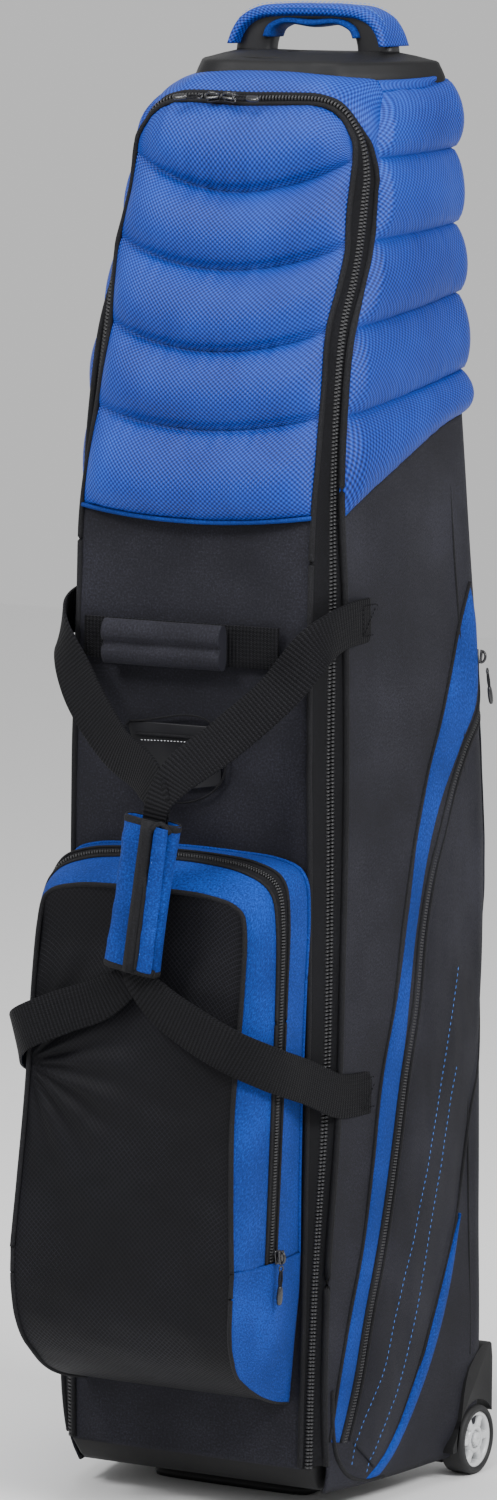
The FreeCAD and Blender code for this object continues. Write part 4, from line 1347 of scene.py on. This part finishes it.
def make_carry_handle():
    outer = [(-79, 1253), (-78, 1260), (-75, 1270), (-68, 1281), (-54, 1288), (-30, 1290.5), (0, 1291),
             (30, 1290.5), (54, 1288), (68, 1281), (75, 1270), (78, 1260), (79, 1253)]
    inner = [(-43, 1253), (-42.5, 1258), (-41, 1264), (-38, 1271), (-33, 1276), (-18, 1278),
             (0, 1278.5), (18, 1278), (33, 1276), (38, 1271), (41, 1264), (42.5, 1258), (43, 1253)]
    core = arch_piece("handle_core", outer, inner, 24, handle_plastic)
    place_piece(core, "case", ["carry_handle"])
    outer = [(-80, 1259), (-77, 1270), (-69, 1283), (-54, 1291.5), (-30, 1294.5), (0, 1295),
             (30, 1294.5), (54, 1291.5), (69, 1283), (77, 1270), (80, 1259)]
    inner = [(-72, 1259), (-68, 1267), (-61, 1275), (-50, 1280.5), (-30, 1283), (0, 1283.5), (30, 1283),
             (50, 1280.5), (61, 1275), (68, 1267), (72, 1259)]
    grip = arch_piece("grip_top", outer, inner, 37, blue_cloth, 4.0, 100, 48)
    place_piece(grip, "case", ["carry_handle_grip"])
    outer = [(-50, 1266), (-46, 1275), (-36, 1281), (0, 1282), (36, 1281), (46, 1275), (50, 1266)]
    inner = [(-40, 1265), (-37.5, 1270.5), (-31, 1274.5), (0, 1274), (31, 1274.5), (37.5, 1270.5),
             (40, 1265)]
    under = arch_piece("grip_under", outer, inner, 29, blue_smooth, 3.0, 60)
    place_piece(under, "case")
    for depth in (119.4, 154.6):
        line = [(x, depth, z) for x, z in [(-74, 1268), (-64, 1281), (-50, 1287.5), (-28, 1290),
                                           (0, 1290.5), (28, 1290), (50, 1287.5), (64, 1281), (74, 1268)]]
        place_piece(tube_piece("grip_edge_%d" % depth, along(line, 90), 1.1, blue_smooth, up=(0, 1, 0)),
                    "case")
    for depth in (124, 150):
        line = [(x, depth, z + 0.5) for x, z in outer_line()]
        stitch_row("grip_stitches_%d" % depth, along(line, 90), (0, 0, 1), blue_thread, "case", 2.6, 1.8,
                   0.45)


def outer_line():
    return [(-79, 1264), (-70, 1283), (-54, 1292), (-30, 1295), (0, 1295.4), (30, 1295), (54, 1292),
            (70, 1283), (79, 1264)]


# ---- base and wheels -------------------------------------------------------------------------------

def make_base():
    profile = [(-57, 26), (-52, 22), (-40, 19), (60, 19), (90, 22), (113, 26), (113, 58), (40, 55),
               (-66, 47), (-70, 44)]
    verts, count = [], len(profile)
    for side in (-1, 1):
        for y, z in profile:
            verts.append((side * min(122 + 24 * (y + 57) / 263 - (4 if z < 30 else 0), 145), y, z))
    faces = [tuple(range(count))[::-1], tuple(range(count, 2 * count))]
    for index in range(count):
        nxt = (index + 1) % count
        faces.append((index, nxt, count + nxt, count + index))
    tray = mesh_piece("tray", verts, faces, base_plastic)
    fix_normals(tray)
    round_edges(tray, 4, 4)
    place_piece(tray, "case", ["base_tray"])
    bridge = plate_piece("axle_bridge", [(112, 26), (122, 26), (172, 100), (172, 115), (160, 115),
                                         (112, 60)],
                         -125.7, 125.7, base_plastic, 3)
    place_piece(bridge, "case")
    rings = []
    for level, grow in ((0, -2), (1, 0), (6, 1), (8, -1), (10, -1), (12, 4), (19, 18)):
        half = 78 + grow * 1.9 if level > 8 else 78 + grow
        rings.append(rounded_ring((0, 24 - grow * 0.5, level), (1, 0, 0), (0, 1, 0), half, 26 + grow * 1.2,
                                  7, 64))
    foot = loft_piece("foot", rings, base_plastic)
    place_piece(foot, "case", ["kick_foot"])


def make_housing(side, word):
    lower = [(113.5, 26), (121.4, 26)]
    arc = [(157 + 36 * math.cos(angle), 31 + 36 * math.sin(angle))
           for angle in np.linspace(math.radians(188), math.radians(36), 26)]
    shell = lower + arc + [(186, 60), (186, 100), (184, 113), (181, 115), (168, 115), (156, 109),
                           (143, 98), (137, 87), (133, 74), (131, 63), (129, 54), (122, 42), (113.5, 31)]
    outside = plate_piece("housing_shell_" + word, shell, side * 137, side * 162, base_plastic, 2.2)
    place_piece(outside, "case", ["wheel_housing_" + word])
    cheek = [(113.5, 26), (140, 10), (176, 10), (186, 31), (186, 100), (184, 115), (165, 115),
             (143, 98), (133, 74), (129, 54), (113.5, 31)]
    inside = plate_piece("housing_cheek_" + word, cheek, side * 126, side * 137.5, base_plastic, 1.5)
    place_piece(inside, "case")


def make_wheel(side, word):
    hub = (side * 152.5, 157, 31)
    axis = (side, 0, 0)
    body = "wheel_" + word
    tyre = turned_piece("tread_" + word, [(-11.5, 25), (-11.5, 28.5), (-10.5, 30.3), (-8, 31), (8, 31),
                                          (10.5, 30.3), (11.5, 28.5), (11.5, 25)], hub, axis, tyre_rubber, 96)
    place_piece(tyre, body, ["tyre_" + word])
    pieces = [turned_piece("rim_band_" + word, [(-9.5, 21), (-9.5, 25), (9.6, 25), (9.9, 24), (9.4, 22),
                                                (7, 21)],
                           hub, axis, rim_plastic, 96),
              turned_piece("rim_hub_" + word, [(-9.5, 8), (-9.5, 13), (6, 13.5), (9.3, 11.8), (9.6, 10),
                                               (8.4, 8)],
                           hub, axis, rim_plastic, 64)]
    for turn in range(6):
        angle = math.radians(60 * turn)
        along_spoke = np.array([0, math.cos(angle), math.sin(angle)])
        over = np.array([0, -math.sin(angle), math.cos(angle)])
        rings = []
        for reach, wide in ((11, 5.6), (13.5, 4.0), (17.5, 3.2), (20.5, 4.0), (22.5, 6.0)):
            centre = np.array(hub) + along_spoke * reach + np.array(axis) * 4.6
            rings.append(rounded_ring(centre, over, axis, wide, 4.2, 4.0, 20))
        pieces.append(loft_piece("spoke", rings, rim_plastic))
    rim = joined("rim_star_" + word, pieces)
    place_piece(rim, body, ["rim_" + word])
    web = turned_piece("rim_web_" + word, [(-7, 12), (-7, 22), (-4, 22), (-4, 12)], hub, axis, base_plastic,
                       64)
    place_piece(web, body)
    bearing = turned_piece("race_" + word, [(-7, 4.05), (-7, 8), (5.5, 8), (5.5, 4.05)], hub, axis, steel,
                           48)
    place_piece(bearing, body, ["bearing_" + word])
    return hub, axis


def make_axles():
    pins, nuts = [], []
    for side, word in SIDES:
        hub, axis = make_wheel(side, word)
        pins.append(turned_piece("pin", [(-26, 0.2), (-26, 4), (11, 4), (11, 0.2)], hub, axis, steel, 32))
        nuts.append(turned_piece("nut", [(7.6, 0.3), (7.6, 7), (10.2, 7), (11.2, 6), (11.2, 0.3)], hub,
                                 axis,
                                 rim_plastic, 6))
        nuts.append(turned_piece("washer", [(6.9, 0.3), (6.9, 8.0), (7.7, 8.0), (7.7, 0.3)], hub, axis,
                                 rim_plastic, 40))
    place_piece(joined("axle_pins", pins), "case", ["axles"])
    place_piece(joined("hub_nuts", nuts), "case", ["axle_nuts"])


# ---- sides -----------------------------------------------------------------------------------------

STRIPE_FRONT = [(155, 794), (131, 756), (112, 715), (97, 680), (76, 637), (60, 594), (49, 556),
                (37, 503), (26, 437), (10, 378), (-3, 301), (-18, 227), (-34, 171), (-49, 111),
                (-57, 67)]
ZIP_FRONT = [(166, 734), (166, 705), (157, 681), (132, 651), (109, 616), (93, 583), (77, 548),
             (63, 499), (53, 434), (38, 374), (23, 303), (5, 229), (-13, 167), (-26, 116), (-42, 64)]
POCKET_BACK = [(167, 440), (164, 405), (158, 366), (146, 330), (132, 275), (122, 236), (108, 202),
               (95, 174), (84, 150), (72, 124), (58, 96), (44, 72), (32, 54), (22, 40), (12, 28)]
LOW_FRONT = [(126, 238), (110, 206), (95, 177), (82, 150), (70, 124), (53, 95), (36, 66), (18, 43),
             (-2, 23)]
LOW_BACK = [(127, 240), (121, 210), (112, 178), (103, 155), (95, 138), (80, 110), (65, 86), (42, 52),
            (22, 24)]
STITCH_ONE = [(118, 460), (101, 392), (82, 329), (57, 250), (34, 188), (11, 127), (-17, 75), (-34, 38)]
STITCH_TWO = [(116, 372), (104, 335), (88, 280), (69, 214), (51, 154), (32, 106), (8, 65), (-12, 28)]


def flat_curve(points, count):
    """Smooth line on a side wall, as pairs of distance to the back and height."""
    points = np.array([(0, y, z) for y, z in points], float)
    return along(points, count)[:, 1:]


def on_wall(curve, side, lift):
    return np.array([side_spot(reach, level, side, lift) for reach, level in curve])


def wall_band(name, front, rear, side, material, lift, columns=14, count=170, power=0.5, wave=None,
              thick=1.2):
    """Strip lying on a side wall between two lines, raised in the middle."""
    front, rear = flat_curve(front, count), flat_curve(rear, count)
    rows = []
    for part in np.linspace(0, 1, columns):
        curve = front + (rear - front) * part
        rise = 0.4 + lift * math.sin(math.pi * part) ** power
        rows.append(on_wall(curve, side, rise))
    rows = np.array(rows)
    if wave is not None:
        share = np.sin(np.linspace(0, np.pi, columns))[:, None]
        rows[..., 0] += side * wave(rows) * share
    return grid_piece(name, rows, material, thick=thick, outward=side)


def make_side_trim(side, word):
    stripe = wall_band("stripe_" + word, STRIPE_FRONT, ZIP_FRONT, side, blue_smooth, 2.6, power=0.35)
    place_piece(stripe, "case", ["side_stripe_" + word])
    shift = [(y + 11, z) for y, z in ZIP_FRONT]
    half = [(y + 5.0, z) for y, z in ZIP_FRONT]
    other = [(y + 6.6, z) for y, z in ZIP_FRONT]
    for part, first, second in (("front", ZIP_FRONT, half), ("rear", other, shift)):
        tape = wall_band("side_tape_%s_%s" % (part, word), first, second, side, tape_cloth, 0.6, 5)
        place_piece(tape, "case", ["side_zip_tape_" + word] if part == "front" else ())
        middle = flat_curve([(y + (4.6 if part == "front" else 7.0), z) for y, z in ZIP_FRONT], 400)
        line = on_wall(middle, side, 1.6)
        way = on_wall(middle + np.array([1.0, 0.4]), side, 1.6) - line
        teeth = zip_teeth("side_teeth_%s_%s" % (part, word), line, way, coil_plastic, 2.6, 2.4, side * 1.4)
        place_piece(teeth, "case")
    back = [(min(y, 166), z) for y, z in POCKET_BACK]
    front = [(min(y + 11.5, 167), z) for y, z in ZIP_FRONT]
    pouch = wall_band("pouch_" + word, front, back, side, black_cloth, 4.6, 40, 200, 0.6,
                      lambda rows: 1.6 * ripple(rows * np.array([1, 1, 0.5]), 36, 71)
                      + 0.8 * ripple(rows * np.array([1, 1, 0.35]), 13, 72), 1.6)
    place_piece(pouch, "case", ["side_pocket_" + word])
    lower = wall_band("low_stripe_" + word, LOW_FRONT, LOW_BACK, side, blue_smooth, 4.2, 10, 90, 0.3)
    place_piece(lower, "case")
    for name, curve, radius, lift in (
            ("stripe_piping_front", STRIPE_FRONT, 2.0, 1.6),
            ("stripe_piping_rear", ZIP_FRONT, 2.0, 1.8),
            ("zip_piping", shift, 1.9, 1.8),
            ("pouch_piping", POCKET_BACK, 1.8, 1.4),
            ("low_piping", LOW_FRONT, 1.3, 1.4)):
        line = on_wall(flat_curve(curve, 220), side, lift)
        piping = tube_piece("%s_%s" % (name, word), line, radius, piping_cloth, up=(side, 0, 0))
        place_piece(piping, "case")
    tree = pouch_lift(pouch)
    for index, curve in enumerate((STITCH_ONE, STITCH_TWO)):
        line = [tree(point, side) for point in on_wall(flat_curve(curve, 160), side, 0)]
        stitch_row("side_stitches_%d_%s" % (index, word), line, (side, 0, 0), blue_thread, "case", 3.0, 2.4,
                   0.42)
    hem = [wall_point(21, place, side) for place in np.linspace(0, 0.46, 60)]
    place_piece(tube_piece("side_hem_" + word, hem, 2.0, piping_cloth), "case")
    corner = [side_spot(y, level, side, 1.8)
              for y, level in ((-56, 112), (-54, 80), (-46, 52), (-26, 32), (0, 23), (28, 21))]
    place_piece(tube_piece("hem_corner_" + word, along(corner, 80), 2.4, piping_cloth), "case")
    line = [side_spot(146 - 0.02 * (level - 120), level, side, 0.7) for level in np.linspace(110, 880, 120)]
    place_piece(tube_piece("back_corner_piping_" + word, line, 1.6, piping_cloth, up=(side, 0, 0)), "case")


def pouch_lift(pouch):
    """Looks up how far out a side pocket's cloth stands at a point of the wall."""
    points = np.array([tuple(vertex.co) for vertex in pouch.data.vertices]) / MM

    def at(point, side):
        gaps = (points[:, 1] - point[1]) ** 2 + (points[:, 2] - point[2]) ** 2
        nearest = np.argsort(gaps)[:4]
        share = 1 / (gaps[nearest] + 0.5)
        reach = float(np.sum(points[nearest, 0] * share) / np.sum(share))
        return np.array([max(abs(reach), abs(point[0])) * side + side * 0.5, point[1], point[2]])
    return at


def make_hood_edges():
    """Blue piping where the hood meets the black cloth, round the sides and back."""
    places = np.concatenate([np.linspace(0, 1, 130), np.linspace(1, 0, 130)[1:]])
    sides = [1] * 130 + [-1] * 129
    line = []
    for place, side in zip(places, sides):
        level = hood_foot(wall_point(900, place, side)[1])
        point = wall_point(float(level), place, side)
        inward = np.array([0, 96, level]) - point
        inward[2] = 0
        line.append(point - inward / np.linalg.norm(inward) * 0.8)
    place_piece(tube_piece("hood_foot_piping", np.array(line), 2.0, blue_smooth), "case")
    for side, word in SIDES:
        corner = [wall_point(level, 0, side) + np.array([side * 0.3, -0.5, 0])
                  for level in np.linspace(1128, 1221, 40)]
        place_piece(tube_piece("hood_corner_" + word, corner, 1.4, blue_smooth), "case")


# ---- sliders and pulls -----------------------------------------------------------------------------

def make_slider(name, centre, run, out, body, nodes):
    """Zip slider: arrow-shaped plate, a raised bridge over it and the lower plate under the tape."""
    centre, run, out = (np.array(item, float) for item in (centre, run, out))
    run /= np.linalg.norm(run)
    out -= run * np.dot(out, run)
    out /= np.linalg.norm(out)
    over = np.cross(out, run)
    pieces = []
    for lift, high in ((2.2, 1.0), (-1.6, 0.9)):
        rings = [rounded_ring(centre + run * reach + out * lift, over, out, wide, high, 3, 16)
                 for reach, wide in ((-6, 2.2), (-5, 3.0), (0, 3.6), (4.5, 4.6), (6, 3.6))]
        pieces.append(loft_piece("plate", rings, slider_metal))
    arc = [centre + run * (5 * math.cos(angle)) + out * (2.4 + 3.6 * math.sin(angle))
           for angle in np.linspace(0, math.pi, 14)]
    pieces.append(tube_piece("bridge", arc, 1.2, slider_metal, up=tuple(over)))
    piece = joined(name + "_body", pieces)
    return place_piece(piece, body, nodes)


def make_pull(name, start, finish, out, body, nodes):
    """Ring, short doubled cord and a moulded tab at its end."""
    start, finish, out = (np.array(item, float) for item in (start, finish, out))
    run = (finish - start) / np.linalg.norm(finish - start)
    reach = np.linalg.norm(finish - start)
    over = np.cross(run, out)
    ring = [start + run * (2.4 * (1 - math.cos(angle))) + over * (2.4 * math.sin(angle))
            for angle in np.linspace(0, 2 * np.pi, 20, endpoint=False)]
    metal = tube_piece(name + "_ring", ring, 0.7, slider_metal, closed=True, up=tuple(out))
    place_piece(metal, body, nodes)
    cords = []
    for side in (-1, 1):
        line = [start + run * (4 + (reach * 0.55 - 4) * part) + over
                * (side * 1.1 * math.sin(math.pi * part) + side * 0.5)
                for part in np.linspace(0, 1, 12)]
        cords.append(tube_piece("cord", line, 1.0, cord_cloth, up=tuple(out)))
    place_piece(joined(name + "_cords", cords), body)
    rings = []
    for part, wide, high in ((0, 1.6, 1.4), (0.12, 2.7, 1.9), (0.5, 3.3, 2.1), (0.85, 3.0, 1.9),
                             (1.0, 1.8, 1.2)):
        rings.append(rounded_ring(start + run * reach * (0.5 + 0.5 * part), over, out, wide, high, 2.6, 18))
    tab = loft_piece(name + "_tab", rings, slider_metal)
    smooth_all(tab)
    place_piece(tab, body)


def make_sliders():
    for side, word in SIDES:
        make_slider("top_" + word, (-21 + 8 * side, 7, 1216), (side, 0, 0), (0, -0.75, 0.66),
                    "main_slider_" + word,
                    ["main_slider_" + word])
        make_pull("top_pull_" + word, (-21 + 15 * side, -0.5, 1217), (-21 + 43 * side, -3, 1215.5),
                  (0, -0.75, 0.66),
                  "main_pull_" + word, ["main_pull_" + word])
        make_slider("side_zip_%s" % word, side_spot(164, 728, side, 3.2), (0, 0.2, 0.98), (side, 0.3, 0),
                    "side_slider_" + word, ["side_slider_" + word])
        make_pull("side_tag_" + word, (side * 159, 166, 718), (side * 160.5, 172, 686), (side, 0.2, 0),
                  "side_pull_" + word, ["side_pull_" + word])
    make_slider("pocket_zip", (123.6, -132, 241), (0, 0, 1), (1, -0.1, 0), "pocket_slider",
                ["pocket_slider"])
    make_pull("pocket_tag", (126.5, -133, 234), (126, -135.5, 200), (1, -0.2, 0), "pocket_pull",
              ["pocket_pull"])


# ---- inside ----------------------------------------------------------------------------------------

def make_inside():
    for name, node, low, high in (("floor_foam", "base_pad", (-108, -52, 60.5), (108, 100, 68)),
                                  ("crown_foam", "crown_pad", (-92, 40, 1206), (92, 158, 1216.5))):
        pad = block_piece(name, low, high, foam, 3.0, 4)
        place_piece(pad, "case", [node])
    for word, level in (("lower", 330), ("upper", 720)):
        strap = ribbon_piece("cinch_web_" + word, [(-128, 165.2, level + 19), (-60, 163.6, level + 19),
                                                   (0, 163.2, level + 19), (60, 163.6, level + 19),
                                                   (128, 165.2, level + 19)], [(0, -1, 0)] * 5, 38, 2.2,
                             webbing, 90,
                             1.0, level)
        place_piece(strap, "case", ["cinch_strap_" + word])
        socket = block_piece("buckle_socket_" + word, (-22, 156.5, level), (10, 163, level + 38),
                             base_plastic, 2.2)
        place_piece(socket, "case", ["cinch_socket_" + word])
        plug = block_piece("buckle_plug_" + word, (10.3, 157.5, level + 1), (46.7, 163, level + 37),
                           base_plastic, 1.8)
        place_piece(plug, "cinch_plug_" + word, ["cinch_plug_" + word])
    heads = []
    for across in (-66, -54, 54, 66):
        heads.append(turned_piece("screw", [(0, 0.2), (0, 4.2), (2.2, 4.2), (3, 2.4), (36, 2.4), (36, 0.2)],
                                  (across, 137, 1217), (0, 0, 1), steel, 20))
    place_piece(joined("cap_screws", heads), "case", ["handle_screws"])
    feet = []
    for across, along_y in ((-60, 10), (60, 10), (-60, 40), (60, 40)):
        feet.append(turned_piece("screw", [(0, 0.2), (0, 3), (26, 3), (26, 0.2)], (across, along_y, 8),
                                 (0, 0, 1),
                                 steel, 20))
    place_piece(joined("base_screws", feet), "case", ["foot_screws"])


make_hood_edges()
make_pocket_face()
make_pocket_walls()
make_straps()
make_cuff()
make_front_grab()
make_name_window()
make_rear_grab()
make_cap()
make_carry_handle()
make_base()
for side, word in SIDES:
    make_housing(side, word)
    make_side_trim(side, word)
make_axles()
make_sliders()
make_inside()


# ---- stage -----------------------------------------------------------------------------------------

def make_floor():
    mesh = bpy.data.meshes.new("floor")
    mesh.from_pydata([(-6, -6, 0), (6, -6, 0), (6, 6, 0), (-6, 6, 0)], [], [(0, 1, 2, 3)])
    floor = bpy.data.objects.new("floor", mesh)
    bpy.context.collection.objects.link(floor)
    material = bpy.data.materials.new("floor")
    material.use_nodes = True
    shader = material.node_tree.nodes["Principled BSDF"]
    shader.inputs["Base Color"].default_value = (0.86, 0.86, 0.86, 1)
    shader.inputs["Roughness"].default_value = 0.85
    mesh.materials.append(material)


def make_lights():
    world = bpy.data.worlds.new("studio")
    bpy.context.scene.world = world
    world.use_nodes = True
    background = world.node_tree.nodes["Background"]
    background.inputs[0].default_value = (1.0, 1.0, 1.0, 1)
    background.inputs[1].default_value = 0.66
    middle = Vector((0, 0, 0.65))
    for name, place, size, power in (("key", (-1.3, -2.4, 3.3), 1.0, 88),
                                     ("top", (0.1, -0.9, 3.7), 1.2, 45),
                                     ("fill", (2.7, -1.0, 2.6), 1.2, 122)):
        light = bpy.data.lights.new(name, "AREA")
        light.size = size
        light.energy = power
        lamp = bpy.data.objects.new(name, light)
        bpy.context.collection.objects.link(lamp)
        lamp.location = place
        lamp.rotation_euler = (middle - Vector(place)).to_track_quat("-Z", "Y").to_euler()


def make_camera():
    yaw, pitch, roll = math.radians(29.90), math.radians(7.374), math.radians(0.418)
    back = Vector((math.sin(yaw) * math.cos(pitch), -math.cos(yaw) * math.cos(pitch), math.sin(pitch)))
    level = Vector((math.cos(yaw), math.sin(yaw), 0))
    rise = back.cross(level)
    right = level * math.cos(roll) + rise * math.sin(roll)
    up = -level * math.sin(roll) + rise * math.cos(roll)
    data = bpy.data.cameras.new("camera")
    data.sensor_width = 36
    data.lens = 167.55
    camera = bpy.data.objects.new("camera", data)
    bpy.context.collection.objects.link(camera)
    turn = Matrix((right, up, back)).transposed().to_4x4()
    camera.matrix_world = Matrix.Translation((3.00414, -5.19969, 1.42998)) @ turn
    bpy.context.scene.camera = camera


make_floor()
make_lights()
make_camera()
